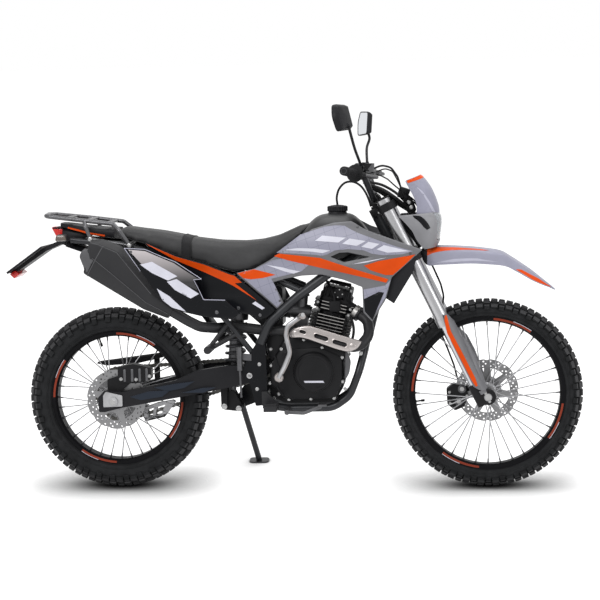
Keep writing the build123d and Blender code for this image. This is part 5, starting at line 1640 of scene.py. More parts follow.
def box_ring(x, half, low, top, power=0.4, count=28):
    """A section square to x: a rectangle with soft corners."""
    ring = []
    for turn in np.linspace(0, 2 * pi, count, endpoint=False):
        rise = (top - low) / 2 * signed_power(sin(turn), power)
        ring.append((x, half * signed_power(cos(turn), power), (low + top) / 2 + rise))
    return ring


COWL = [(14, 88, 930, 966), (-40, 82, 936, 969), (-100, 74, 949, 976), (-150, 62, 962, 983),
        (-180, 50, 970, 987), (-193, 42, 974, 988)]
TAIL_BOX = [(-90, 40, 936, 944), (-104, 46, 929, 950), (-122, 48, 922, 956),
            (-165, 46, 912, 964), (-186, 42, 914, 966), (-192, 38, 918, 962)]


def tail():
    """Slim cowl under the rack, the box below it and the blade over the tyre."""
    heap = Heap()
    heap.add(*loft([box_ring(*station, 0.3) for station in smooth_line(COWL, 4)]))
    heap.add(*loft([box_ring(*station) for station in TAIL_BOX]))
    blade = [(-172, 920), (-60, 878), (120, 798), (240, 728), (300, 690), (366, 604)]
    rows = [[(x + 4 * (1 - abs(t) ** 3), 62 * t, z - 16 * abs(t) ** 5)
             for t in np.linspace(-1, 1, 17)] for x, z in smooth_line(blade, 5)]
    heap.add(*Sheet(rows).shell(3))
    made = heap.make("tail_cowl", "black_plastic", "chassis", slot="black_plastic", sharp=45)
    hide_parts("rear_fender")
    stripe = Heap()
    for side in BOTH:
        rings = []
        for x, z in smooth_line([(-163, 971), (-120, 961), (-81, 951), (-20, 941)], 3):
            half = np.interp(-x, (-14, 40, 100, 150, 180), (88, 82, 74, 62, 50))
            rings.append([(x, side * (half + o), z + up)
                          for o, up in ((-3, -3.5), (0.8, -3), (0.8, 3), (-3, 3.5))])
        stripe.add(*loft(rings))
    stripe.make("tail_stripe", "panel_orange", "chassis")


def lamps():
    """Red tail lamp and two signal lamps on rubber stalks."""
    lamp = [(-229, 971), (-222, 974), (-187, 967), (-186, 945), (-196, 934), (-212, 938)]
    heap = Heap().add(*cushion(lamp, -41, 41, 5, 4))
    made = heap.make("tail_lamp", "lamp_red", "chassis", slot="lamp_red")
    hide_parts("rear_lights")
    bezel = Heap().add(*cushion([(-224, 972), (-186, 974), (-184, 966), (-222, 966)],
                                -44, 44, 3, 2))
    for side in BOTH:
        bezel.add(*tube([(-178, side * 44, 931), (-180, side * 80, 932),
                         (-176, side * 120, 935)], [7, 5.5, 8], 12))
        low, high = sorted((side * 117, side * 150))
        bezel.add(*cushion([(-190, 925), (-184, 951), (-150, 951), (-143, 926)],
                           low, high, 6, 8))
        for y in (side * 54, side * 60, side * 66, side * 72):
            bezel.add(*turned([(0, 6.4), (1, 6.4)], (-179, y, 931.6), (-179.2, y + 3, 931.7),
                              12))
    bezel.make("signal_bodies", "black_plastic", "chassis")
    glass = Heap()
    for side in BOTH:
        low, high = sorted((side * 148, side * 162))
        glass.add(*cushion([(-188, 927), (-183, 949), (-151, 949), (-145, 928)],
                           low, high, 5, 8))
    glass.make("signal_lenses", "lamp_smoke", "chassis")
    outline = [(-386, 803), (-366, 816), (-350, 802), (-370, 786)]
    reflector = Heap().add(*cushion(outline, -60, 60, 2, 3))
    reflector.make("rear_reflector", "lamp_red", "chassis")


MUFFLER_DROP = radians(31.5)
MUFFLER_REAR = (-62, 848)
MUFFLER_Y = -148


def muffler_point(along, up, out):
    """Upright point from the silencer's rear: along it, up square to it, and out to the right."""
    c, s = cos(MUFFLER_DROP), sin(MUFFLER_DROP)
    return (MUFFLER_REAR[0] + along * c + up * s, MUFFLER_Y - out,
            MUFFLER_REAR[1] - along * s + up * c)


def muffler_ring(along, top, chamfer, ridge, bottom, out=40, inner=38, shrink=0.6, corner=7):
    """One section square to the silencer: up and out of its facets' corners, softened."""
    low, high = bottom + (top - bottom) * 0.2, bottom + (top - bottom) * 0.8
    corners = [(top, 2), (top, out * 0.35), (chamfer, out), (ridge, out * 0.96),
               (bottom, out * 0.4), (bottom, 18 - inner), (low, -inner), (high, -inner)]
    loop = rounded(corners, corner)
    return [muffler_point(along, up, reach) for up, reach in inset(loop, shrink)]


def silencer():
    """Faceted body, a lighter cap at the rear and a dark seam between them; raised lines in the
    cap's lighter finish along two facet corners are painted highlights.
    """
    full = (100, 78, 25, -46)
    stations = [(-33, 76, 66, 56, 46, 36, 24), (-30, 79, 68, 54, 38, 37, 26), (-3, 99, 77, 27, -42),
                (2, *full), (66, 112, 88, 15, -46, 41), (74, 111, 88, 14, -46, 41),
                (150, 84, 58, 4, -46, 41), (250, 52, 23, -15, -46, 40, 36),
                (258, 49, 19, -16, -45, 39, 36), (338, 26, 14, -12, -31, 25, 27),
                (345, 23, 11, -11, -28, 22, 24)]
    heap = Heap().add(*loft([muffler_ring(*station) for station in stations]))
    made = heap.make("silencer_body", "exhaust_black", "chassis", slot="exhaust_black", sharp=18)
    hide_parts("muffler")
    cap = Heap()
    stations = [(-44, 30, 24, 10, 2, 24, 18), (-42, 34, 27, 10, -2, 26, 20),
                (-20, 47, 35, 7, -20, 30, 26), (-16, 48, 36, 6, -22, 31, 27),
                (4, 50, 38, 0, -42, 36, 32), (10, 50, 38, 0, -42, 36, 32)]
    cap.add(*loft([muffler_ring(*station, shrink=-0.8) for station in stations]))
    cap.make("silencer_cap", "end_cap", "chassis", sharp=18)
    seam_and_highlights = Heap()
    # Raised lines along two facet corners, lighter than the body: painted highlights.
    for line in ([(4, 24, 39), (86, 12, 39.8), (252, -15, 38.5), (338, -12, 24)],
                 [(-31, 67, 36), (0, 77, 40.0), (70, 87, 41), (150, 57, 40.5), (252, 21, 39.5)]):
        seam_and_highlights.add(*tube([muffler_point(*p) for p in line], 1.0, 6))
    band = [muffler_ring(14, *full, shrink=-0.7),
            muffler_ring(17, 99.7, 78.2, 24.5, -46, shrink=-0.7)]
    seam_and_highlights.add(*loft(band, False))
    seam_and_highlights.make("silencer_seam_and_highlights", "end_cap", "chassis")


def rack_details():
    """Bolts at the rack's feet."""
    heap = Heap().bolts(((-66, 931), (76, 906)), 125, 6, 4)
    heap.make("rack_bolts", "bolt_steel", "chassis")


tail()
lamps()
silencer()
rack_details()

# ---- engine ------------------------------------------------------------------------------------
CYLINDER_TILT = radians(14)
CYLINDER_BASE = (772, 522)


def bore(n, y, b):
    """Upright point from the cylinder: n forward of its axis, b up along it."""
    c, s = cos(CYLINDER_TILT), sin(CYLINDER_TILT)
    return CYLINDER_BASE[0] + n * c + b * s, y, CYLINDER_BASE[1] - n * s + b * c


def fin_rings(long, wide, low, high, corner, soft=0.5):
    """A rounded plate square to the cylinder, between two heights."""
    x, y = long / 2, wide / 2
    loop = divided(rounded([(-x, -y), (x, -y), (x, y), (-x, y)], corner * 1.6), 26)
    return loft([[bore(n, side_y, b) for n, side_y in inset(loop, gap)] for b, gap in
                 ((low, soft), (low + soft, 0), (high - soft, 0), (high, soft))])


def cooling_fins():
    """Barrel and head fins, bright along their cut edges."""
    heap = Heap()
    heap.add(*fin_rings(104, 104, 8, 132, 30, 2))
    for i in range(9):
        low = 20 + 12 * i
        heap.add(*fin_rings(155, 149, low, low + 3.2, 18))
    for n in (-52, -26, 0, 26, 52):
        for y in (-66, 66):
            heap.add(*tube([bore(n, y, 18), bore(n, y, 126)], 3.4, 8))
    made = heap.make("barrel_fins", "engine_black", "chassis", slot="engine_black", sharp=25)
    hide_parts("cylinder")
    mark_edges(made, 77.3, 74.3)
    head = Heap()
    head.add(*fin_rings(120, 116, 132.3, 196, 20, 3))
    for low in (140, 152, 164):
        head.add(*fin_rings(149, 145, low, low + 3.2, 18))
    head.add(*fin_rings(108, 116, 178, 222, 14, 5))
    for side in BOTH:
        for y in (16, 32, 48):
            head.add(*tube([bore(n, side * y, b) for n, b in
                            ((-42, 220), (-38, 236), (38, 236), (42, 220))], 2.4, 6))
        for n in range(-42, 43, 14):
            head.add(*tube([bore(n, side * 58, 184), bore(n, side * 64, 190),
                            bore(n, side * 64, 218), bore(n, side * 57, 224)], 2.2, 6))
        centre = bore(6, side * 58, 205)
        head.add(*turned([(0, 21), (0.8, 21), (1, 18)], centre,
                         (centre[0], centre[1] + side * 11, centre[2]), 24))
    port = [(0, 25), (0.7, 23), (0.75, 27), (1, 27)]
    head.add(*turned(port, (842, -24, 676), (896, -42, 642), 20))
    made = head.make("head_cover", "engine_black", "chassis", slot="engine_black", sharp=25)
    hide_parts("cylinder_head")
    mark_edges(made, 74.3, 72.3)


def mark_edges(made, long, wide):
    """Bright finish on the outer edges of a finned piece."""
    c, s = cos(CYLINDER_TILT), sin(CYLINDER_TILT)

    def on_edge(x, y, z):
        dx, dz = x - CYLINDER_BASE[0], z - CYLINDER_BASE[1]
        n, b = dx * c - dz * s, dx * s + dz * c
        corner = hypot(max(0, abs(n) - long + 26), max(0, abs(y) - wide + 26))
        return b < 175 and (abs(n) > long or abs(y) > wide or corner > 25.6)

    second_material(made, "fin_edge", on_edge)


def head_fittings():
    """Plug cap and lead, head nuts and the screws of the covers."""
    cap = Heap()
    spot = bore(4, -74, 158)
    outline = [(spot[0] - 20, spot[2] - 20), (spot[0] + 20, spot[2] - 20),
               (spot[0] + 20, spot[2] + 20), (spot[0] - 20, spot[2] + 20)]
    cap.add(*cushion(outline, -92, -66, 4, 6))
    lead = [(spot[0], -88, spot[2] + 16), (spot[0] - 4, -86, spot[2] + 44),
            (spot[0] - 22, -64, spot[2] + 78), (spot[0] - 34, -40, spot[2] + 92)]
    cap.add(*tube(smooth_line(lead, 5), 4, 10))
    cap.make("plug_cap", "rubber_black", "chassis")
    nuts = Heap()
    for n, y in ((-46, 50), (46, 50), (-46, -50), (46, -50)):
        start, end = bore(n, y, 218), bore(n, y, 229)
        nuts.add(*turned([(0, 8.5), (0.25, 8.5), (0.3, 7), (0.8, 6.5), (1, 3)], start, end, 12))
    for side in BOTH:
        for dn, db in ((-14, 0), (14, 0), (0, -14), (0, 14)):
            start = bore(6 + dn, side * 68, 205 + db)
            nuts.add(*bolt(start, (0, side, 0), 2.8, 3))
        for n, b in ((-60, 158), (60, 158), (58, 136), (-58, 136)):
            nuts.add(*bolt(bore(n, side * 70, b), (0, side, 0), 4, 6))
    nuts.make("head_nuts", "bolt_steel", "chassis")


COVER_SIDE = [(614, 520), (580, 470), (574, 395), (631, 336), (812, 340), (838, 402), (838, 494),
              (760, 530)]
COVER_BOLTS = [(618, 522), (580, 462), (574, 398), (606, 358), (642, 338), (722, 340),
               (806, 342), (838, 402), (838, 490), (766, 526)]


def side_cover():
    """Right-hand cover with its bolt bosses and round lid."""
    heap = Heap()
    heap.add(*cushion(COVER_SIDE, -103, -73, 9, 14))
    for x, z in COVER_BOLTS:
        heap.across([(0, 10), (0.92, 9.2), (1, 8)], x, z, -73, -98, 16)
    lid = [(0, 76), (0.25, 75), (0.4, 71), (0.72, 69), (0.78, 66), (0.9, 64), (0.94, 60),
           (0.94, 56), (1, 54), (1, 20)]
    heap.across(lid, 735, 438, -99, -123, 56)
    rib = [(594, 498), (610, 440), (600, 388), (622, 352)]
    heap.add(*tube([(x, -104, z) for x, z in smooth_line(rib, 5)], 4, 8))
    filler = [(0, 18), (0.3, 18), (0.35, 15), (0.9, 15), (1, 12)]
    heap.across(filler, 640, 500, -100, -116, 20)
    made = heap.make("clutch_lid", "engine_black", "chassis", slot="engine_black", sharp=28)
    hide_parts("clutch_cover")
    bolts = Heap().bolts(COVER_BOLTS, 98, 4.6, 5, RIGHT)
    spots = (600, 548), (820, 548), (846, 372), (586, 340), (858, 506), (705, 538)
    bolts.bolts(spots, 76, 5, 6, RIGHT)
    bolts.make("cover_bolts", "bolt_steel", "chassis")
    bar = [(700, 409), (770, 409), (774, 402), (704, 402)]
    Heap().add(*plate_xz(bar, -124.2, -122.4)).make("lid_bar", "panel_white", "chassis")
    edge = [(842, 395), (862, 430), (868, 470), (856, 512), (846, 520), (840, 470)]
    Heap().add(*cushion(edge, -86, -60, 5, 8)).make("case_edge", "dark_alloy", "chassis",
                                                    sharp=28)


def upper_case():
    """The case's shoulder under the barrel, its bracket, starter motor and hoses."""
    heap = Heap()
    shoulder = [(606, 508), (626, 552), (672, 566), (744, 560), (812, 540), (850, 512),
                (846, 484), (760, 500)]
    heap.add(*cushion(shoulder, -98, -50, 8, 12))
    bracket = [(560, 552), (576, 596), (622, 602), (640, 566), (616, 520), (582, 470),
               (566, 500)]
    heap.add(*cushion(bracket, -84, -62, 4, 8))
    starter = [(0, 26), (0.1, 30), (0.8, 30), (0.84, 26), (1, 22)]
    heap.across(starter, 652, 574, -36, -92, 24)
    for line in ([(600, -74, 590), (622, -80, 640), (668, -70, 690), (720, -56, 716)],
                 [(586, -80, 560), (560, -70, 610), (566, -60, 668), (610, -50, 700)],
                 [(858, -70, 500), (872, -78, 540), (880, -70, 590), (868, -56, 640)]):
        heap.add(*tube(smooth_line(line, 6), 5, 10))
    heap.make("upper_case", "engine_black", "chassis", sharp=28)
    bolts = Heap().bolts(((636, 548), (700, 556), (768, 546), (826, 526)), 97, 4.6, 5, RIGHT)
    bolts.bolts(((600, 588), (578, 520)), 83, 4.6, 5, RIGHT)
    bolts.make("upper_case_bolts", "bolt_steel", "chassis")


SHIELD = [(654, 590), (668, 603), (700, 611), (726, 612), (748, 606), (913, 553), (909, 543),
          (898, 528), (878, 518), (858, 516), (824, 525), (722, 562), (693, 569), (658, 567),
          (651, 577)]
SHIELD_SLOTS = [(702, 590, 24, 11), (768, 570, 52, 15), (834, 548, 52, 15)]
SHIELD_TURN = radians(-17.5)


def slot_loop(x, z, long, tall, grow=0.0):
    """Round-ended slot turned down to the front."""
    radius = tall / 2 + grow
    reach = (long - tall) / 2
    points = []
    for sense, start in ((1, -pi / 2), (-1, pi / 2)):
        for k in range(7):
            t = start + pi * k / 6
            points.append((sense * reach + radius * cos(t), radius * sin(t)))
    c, s = cos(SHIELD_TURN), sin(SHIELD_TURN)
    return [(x + a * c - b * s, z + a * s + b * c) for a, b in points]


def heat_guard():
    """Polished guard on the exhaust bend, with three raised slots."""
    slots = [slot_loop(*slot) for slot in SHIELD_SLOTS]
    guard = Skin(SHIELD, lambda x, z: 151 - 0.00045 * (x - 780) ** 2, roll=6, corner=8)
    heap = Heap()
    places, triangles, rims = filled(guard.loop, slots, 9, (1, 3, 6))
    edge = loop_distance(places, [guard.loop])
    near = np.clip(1 - edge / 6, 0, 1)
    outer = guard.surface(places[:, 0], places[:, 1]) - 6 * (1 - np.sqrt(1 - near**2))
    heap.add(*guard.close(places, triangles, rims, outer, 3, -1))
    for slot in SHIELD_SLOTS:
        loop = slot_loop(*slot, grow=2.5)
        ring = [(x, -float(guard.surface(x, z)) - 0.4, z) for x, z in loop]
        heap.add(*tube([*ring, ring[0]], 2.2, 8))
    for x, z in ((677, 583), (879, 535)):
        y = -float(guard.surface(x, z))
        heap.across([(0, 12), (0.7, 12), (1, 10)], x, z, y + 1, y - 3, 24)
        heap.across([(0, 7), (0.9, 6.5), (1, 4.5)], x, z, y - 2, y - 6, 16)
        heap.across([(0, 7), (1, 7)], x, z, y + 2, -134, 14)
    made = heap.make("heat_guard", "shield_steel", "chassis", slot="shield_steel", sharp=35)
    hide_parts("heat_shield")


def kick_lever():
    """Polished lines along the kick starter, its pedal and hub."""
    heap = Heap()
    path = smooth_line([(624, -160, 440), (643, -162, 476), (656, -166, 520), (646, -167, 575),
                        (650, -167, 606), (696, -166, 641)], 5)
    for shift in (-5.2, 5.2):
        heap.add(*tube([(x + shift, y + 1.5, z) for x, y, z in path], 1.9, 6))
    heap.across([(0, 17), (0.8, 17), (1, 14)], 612, 425, -134, -152, 20)
    heap.add(*bolt((612, -151, 425), (0, -1, 0), 6, 5))
    for k in range(3):
        x, y = 699.5 + 4 * k, -176 - 8 * k
        heap.add(*turned([(0, 10), (1, 10)], (x, y, 650), (x + 0.5, y - 3, 650.4), 12))
    heap.make("kick_lever_lines", "shield_steel", "chassis")


cooling_fins()
head_fittings()
side_cover()
upper_case()
heat_guard()
kick_lever()
second_material(nodes["main_frame"], "panel_black", lambda x, y, z: abs(y) > 96 and z < 545)

# ---- bars, mirrors and fork guards ----------------------------------------------------------
BAR_BEND = np.array((930.1, 195.0, 1146.0))
GRIP_END = np.array((875.0, 400.0, 1166.0))


def on_grip(share, side):
    """A point on the straight end of the handlebar."""
    spot = BAR_BEND + (GRIP_END - BAR_BEND) * share
    return np.array((spot[0], side * spot[1], spot[2]))


def ribbed_grips():
    """Grips with a flange at the inner end and 22 ribs."""
    heap = Heap()
    for side in BOTH:
        profile = [(0, 13), (0.005, 30), (0.03, 31), (0.05, 17)]
        for k in range(22):
            share = 0.06 + k * 0.041
            profile += [(share, 14.6), (share + 0.008, 16), (share + 0.026, 16),
                        (share + 0.034, 14.6)]
        profile += [(0.975, 15.6), (0.993, 15.6), (0.997, 14)]
        heap.add(*turned(profile, on_grip(0.42, side), on_grip(1.0, side), 20))
    made = heap.make("grip_ribs", "rubber_black", "steering", slot="rubber_black", sharp=30)
    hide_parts("grips")


MIRROR_FACE = [(-50, -40), (44, -46), (55, 6), (38, 48), (-44, 46)]
# Each is its side, the middle of its glass, and its turn and tilt in degrees.
MIRRORS = ((-1, (868, -345, 1345), 24, -13), (1, (910, 345, 1330), 24, 6))


def mirror_point(side, middle, turn, tilt, u, w, d):
    """Point of a mirror head: u outward, w up, d forward of the glass."""
    a, b = radians(turn), radians(tilt)
    x, z = d * cos(b) + w * sin(b), w * cos(b) - d * sin(b)
    return (middle[0] + x * cos(a) - u * sin(a), middle[1] + side * (u * cos(a) + x * sin(a)),
            middle[2] + z)


def mirrors():
    """Five-sided heads on bent stems, each with its glass facing the rider."""
    shells = Heap()
    glass = Heap()
    loop = divided(rounded(MIRROR_FACE, 14), 12)
    for head in MIRRORS:
        side = head[0]
        for heap, layers in (
            (shells, ((-7, 3.5), (-9, 2), (-9, 0), (-4, -0.5), (4, 1), (10, 5), (14, 8),
                      (16, 13))),
            (glass, ((-7.8, 4), (-6, 4))),
        ):
            heap.add(*loft([[mirror_point(*head, u, w, d) for u, w in inset(loop, gap)]
                            for d, gap in layers]))
        base = on_grip(0.16, side) + (2, 0, 15)
        top = mirror_point(*head, -6, -34, 16)
        knee = (base[0] - (16 if side < 0 else 4), side * 285, 1238)
        line = smooth_line([base, base + (-1, side * 6, 22), knee,
                            (top[0] + 4, top[1] - side * 14, top[2] - 22), top], 6)
        shells.add(*tube(line, 5, 12))
        shells.add(*turned([(0, 9), (0.6, 9), (0.62, 7.5), (1, 6)], base, base + (0, 0, 24), 12))
        ball = mirror_point(*head, -6, -26, 8)
        shells.add(*turned([(0, 6), (0.3, 10), (0.7, 10), (1, 6)], top, ball, 14))
    made = shells.make("mirror_heads", "black_plastic", "steering", slot="black_plastic",
                       sharp=50)
    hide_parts("mirrors")
    glass.make("mirror_glass", "mirror_glass", "steering")


GUARD_R = 36.5


def guard_point(side, turn, radius, up):
    """Round a fork leg: turn from straight ahead towards the outside, up above the axle."""
    a = radians(turn)
    return steer(LEG_LEAD + radius * cos(a), side * (LEG_Y + radius * sin(a)), AXLE_UP + up)


def guard_shell(side, edges, radius, thick):
    """Part of a cylinder round a leg; edges lists (up, first turn, last turn)."""
    rings = []
    for up, first, last in edges:
        turns = np.linspace(first, last, 15)
        ring = [guard_point(side, t, radius, up) for t in turns]
        ring += [guard_point(side, t, radius - thick, up) for t in reversed(turns)]
        rings.append(ring)
    return loft(rings)


def fork_guards():
    """Grey guards round the lower legs, a wing at the front of each and an orange strip."""
    shells = Heap()
    strips = Heap()
    for side in BOTH:
        edges = [(30, -30, 62), (44, -60, 84), (60, -80, 100), (230, -84, 100), (276, -80, 96),
                 (290, -60, 92), (298, -30, 88), (318, 30, 80), (336, 48, 66)]
        shells.add(*guard_shell(side, edges, GUARD_R, 3))
        wing = [(40, -6, 22), (60, -16, 40), (150, -14, 34), (210, -8, 20), (236, 0, 8)]
        rings = []
        for up, first, last in wing:
            reach = 12 * sin(pi * min(1, max(0, (236 - up) / 196)) ** 0.6) + 1
            turns = np.linspace(first, last, 9)
            ring = [guard_point(side, t, GUARD_R + reach * sin(pi * (i + 0.5) / 9), up)
                    for i, t in enumerate(turns)]
            ring += [guard_point(side, t, GUARD_R - 1, up) for t in reversed(turns)]
            rings.append(ring)
        shells.add(*loft(rings))
        shells.add(*guard_shell(side, [(20, 30, 80), (34, 28, 84)], GUARD_R - 2, 8))
        strip = [(56, 76, 88), (84, 69, 93), (180, 70, 95), (272, 74, 98), (300, 66, 87),
                 (318, 58, 79), (332, 54, 66)]
        strips.add(*guard_shell(side, strip, GUARD_R + 0.9, 1.6))
    made = shells.make("fork_guard_shells", "plain_grey", "steering", slot="panel_grey",
                       sharp=40)
    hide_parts("fork_guards")
    strips.make("fork_guard_strips", "panel_orange", "steering")


def bar_looms():
    """Cables and wiring from the bars down to the back of the mask."""
    heap = Heap()
    for radius, path in (
        (5, [(925, -95, 1118), (975, -70, 1096), (1030, -35, 1060), (1080, -22, 1022)]),
        (7, [(930, -60, 1110), (985, -45, 1080), (1035, -20, 1044), (1085, -12, 1012)]),
        (7, [(940, 30, 1105), (990, 25, 1086), (1040, 18, 1052), (1085, 14, 1012)]),
        (5, [(935, 80, 1116), (990, 55, 1102), (1045, 30, 1068), (1088, 20, 1020)]),
    ):
        heap.add(*tube(smooth_line(path, 7), radius, 10))
    for side in BOTH:
        heap.add(*tube([(1046, side * 42, 990), (1086, side * 38, 936), (1126, side * 32, 882)],
                       8.5, 12))
    heap.make("bar_looms", "rubber_black", "steering")


def instrument():
    """Small meter with a dark window."""
    heap = Heap()
    heap.add(*cushion([(1040, 1063), (1053, 1100), (1090, 1087), (1077, 1052)], -33, 33, 5, 6))
    made = heap.make("meter_case", "black_plastic", "steering", slot="black_plastic")
    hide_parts("instrument")
    outline = [(1041.5, 1069), (1051, 1096), (1054, 1095), (1044.5, 1068)]
    window = Heap().add(*cushion(outline, -26, 26, 0.8, 1))
    window.make("meter_window", "mirror_glass", "steering")


def headlight():
    """Clear front in the mask's window with a bright bowl and a dark case behind."""
    t = np.linspace(0.305, 0.695, 21)
    rows = []
    for share in np.linspace(0.27, 0.92, 15):
        spots, normals = mask.at(np.full(len(t), share), t)
        rows.append((spots - normals * 1.2).tolist())
    lens = Heap().add(*Sheet(rows).shell(2.4))
    made = lens.make("headlight_front", "lens_clear", "steering", slot="lens_clear")
    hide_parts("headlight")
    sections = ((1112, 34, 944, 984), (1118, 42, 936, 992), (1146, 48, 926, 1000),
                (1160, 49, 924, 1001))
    case = Heap().add(*loft([box_ring(*section, 0.35) for section in sections]))
    case.bolts(((1140, 934), (1140, 992)), 48, 3.5, 4)
    case.make("headlight_case", "black_plastic", "steering")
    bowl = [(0, 46), (0.02, 44), (0.03, 30), (0.035, 12), (0.2, 9), (0.5, 9), (0.6, 6)]
    shine = Heap().add(*turned(bowl, (1160, 0, 962), (1180, 0, 962), 32))
    shine.make("headlight_bowl", "chrome_tube", "steering")


def hose_to_bars():
    """Breather from the fuel cap, bending across the steering joint."""
    line = [(824, 0, 1036), (822, 0, 1064), (831, 0, 1094), (853, 0, 1116), (882, 0, 1119),
            (908, 0, 1105), (926, 0, 1081), (938, 0, 1054), (946, 0, 1028)]
    points, faces = tube(smooth_line(line, 8), 4, 12)
    mesh = bpy.data.meshes.new("breather_hose")
    mesh.from_pydata(world_points(points).tolist(), [], faces)
    mesh.shade_smooth()
    mesh.materials.append(finishes["rubber_black"])
    made = placed("breather_hose", mesh)
    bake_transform(made)
    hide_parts("tank_vent_hose")


ribbed_grips()
mirrors()
fork_guards()
bar_looms()
instrument()
headlight()
hose_to_bars()

# ---- chain, spring and small hardware -----------------------------------------------------
CHAIN_PITCH = 15.875
CHAIN_Y = 68
CHAIN_ROLLER = [(0, 2.4), (0.08, 2.4), (0.12, 4.6), (0.88, 4.6), (0.92, 2.4), (1, 2.4)]
# x, z and pitch radius of the front sprocket and of the rear one
SPROCKETS = ((566, 440, 33.17), (*REAR_AXLE, 101.17))


def chain_line():
    """Pins of the chain round both sprockets, one pitch apart."""
    (fx, fz, fr), (rx, rz, rr) = SPROCKETS
    slope = atan2(fz - rz, fx - rx)
    spread = atan2(rr - fr, sqrt((fx - rx) ** 2 + (fz - rz) ** 2 - (rr - fr) ** 2))
    upper, lower = slope + pi / 2 + spread, slope - pi / 2 - spread
    path = [(rx + rr * cos(turn), rz + rr * sin(turn))
            for turn in np.linspace(upper, lower + 2 * pi, 60)]
    path += [(fx + fr * cos(turn), fz + fr * sin(turn)) for turn in np.linspace(lower, upper, 30)]
    path.append(path[0])
    spots = np.array(path)
    run = np.concatenate(([0], np.cumsum(np.linalg.norm(np.diff(spots, axis=0), axis=1))))
    count = int(run[-1] / CHAIN_PITCH / 2) * 2
    reach = np.linspace(0, run[-1], count, endpoint=False)
    return [(np.interp(r, run, spots[:, 0]), np.interp(r, run, spots[:, 1])) for r in reach]


def link_plate(a, b, y0, y1, tall):
    """A waisted plate between two pins."""
    ahead = np.array((b[0] - a[0], b[1] - a[1]))
    long = np.linalg.norm(ahead)
    ahead = ahead / long
    up = np.array((-ahead[1], ahead[0]))
    loop = []
    for centre, start in ((long, -pi / 2), (0, pi / 2)):
        for k in range(6):
            t = start + pi * k / 5
            loop.append((centre + tall * cos(t), tall * sin(t)))
        loop.append((long / 2, (1 if start < 0 else -1) * tall * 0.72))
    spots = [np.array(a) + ahead * u + up * v for u, v in loop]
    return loft([[(x, y, z) for x, z in spots] for y in (y0, y1)])


def chain():
    """Inner and outer links in turn, with a roller on every pin."""
    pins = chain_line()
    heap = Heap()
    for i, (a, b) in enumerate(zip(pins, [*pins[1:], pins[0]])):
        reach, tall = (4.6, 7.0) if i % 2 else (6.6, 7.3)
        for side in BOTH:
            low, high = sorted((CHAIN_Y + side * reach, CHAIN_Y + side * (reach - 1.6)))
            heap.add(*link_plate(a, b, low, high, tall))
        heap.across(CHAIN_ROLLER, *a, CHAIN_Y - 6.9, CHAIN_Y + 6.9, 8)
    made = heap.make("chain_links", "chain_steel", "chassis", slot="chain_steel", sharp=35)
    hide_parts("drive_chain")


def spring_damper():
    """Coil spring on its damper, with collars and both eyes."""
    top, low = np.array((452.0, 0, 668)), np.array((424.0, 0, 346))
    axis = unit(low - top)
    first, second = across_of(axis)
    heap = Heap()
    line = []
    for k in range(8 * 16 + 1):
        turn = 2 * pi * k / 16
        reach = 60 + 204 * k / 128
        line.append(top + axis * reach + 33.5 * (cos(turn) * first + sin(turn) * second))
    heap.add(*tube(line, 6, 8))
    made = heap.make("shock_coil", "spring_steel", "chassis", slot="spring_steel", sharp=60)
    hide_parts("rear_shock")
    body = Heap()
    body.add(*turned([(0, 14), (0.05, 14), (0.051, 38), (0.1, 40), (0.14, 40), (0.141, 25),
                      (0.62, 25), (0.64, 14), (0.84, 12), (0.842, 38), (0.87, 40), (0.9, 30),
                      (0.901, 12), (1, 12)], top, low, 28))
    for spot, radius, half in ((top, 17, 15), (low, 13, 13)):
        eye = [(0, radius - 2), (0.06, radius), (0.94, radius), (1, radius - 2)]
        body.across(eye, spot[0], spot[2], -half, half, 20)
    body.make("shock_damper", "dark_alloy", "chassis", sharp=35)


def arm_details():
    """Axle bolts, plate bolts and the dark print along the swingarm."""
    heap = Heap()
    for y, radius, height, spots in (
        (119, 11, 7, [(-2, 334)]),
        (122, 8, 4, [(503, 429)]),
        (122, 5, 4, [(540, 470), (530, 380), (556, 344)]),
        (46, 8, 5, [(398, 304), (451, 296)]),
        (78, 6, 5, [(904, 502), (851, 479), (822, 390)]),
    ):
        heap.bolts(spots, y, radius, height)
    heap.make("frame_bolts", "bolt_steel", "chassis")
    prints = Heap()
    for outline in ([(60, 352), (130, 372), (210, 376), (180, 352), (100, 340)],
                    [(150, 386), (230, 400), (300, 408), (262, 384), (200, 372)],
                    [(250, 366), (330, 384), (380, 386), (330, 366)]):
        for side in BOTH:
            low, high = sorted((side * 111, side * 112.7))
            prints.add(*plate_xz(outline, low, high))
    prints.make("arm_prints", "arm_blue", "chassis")


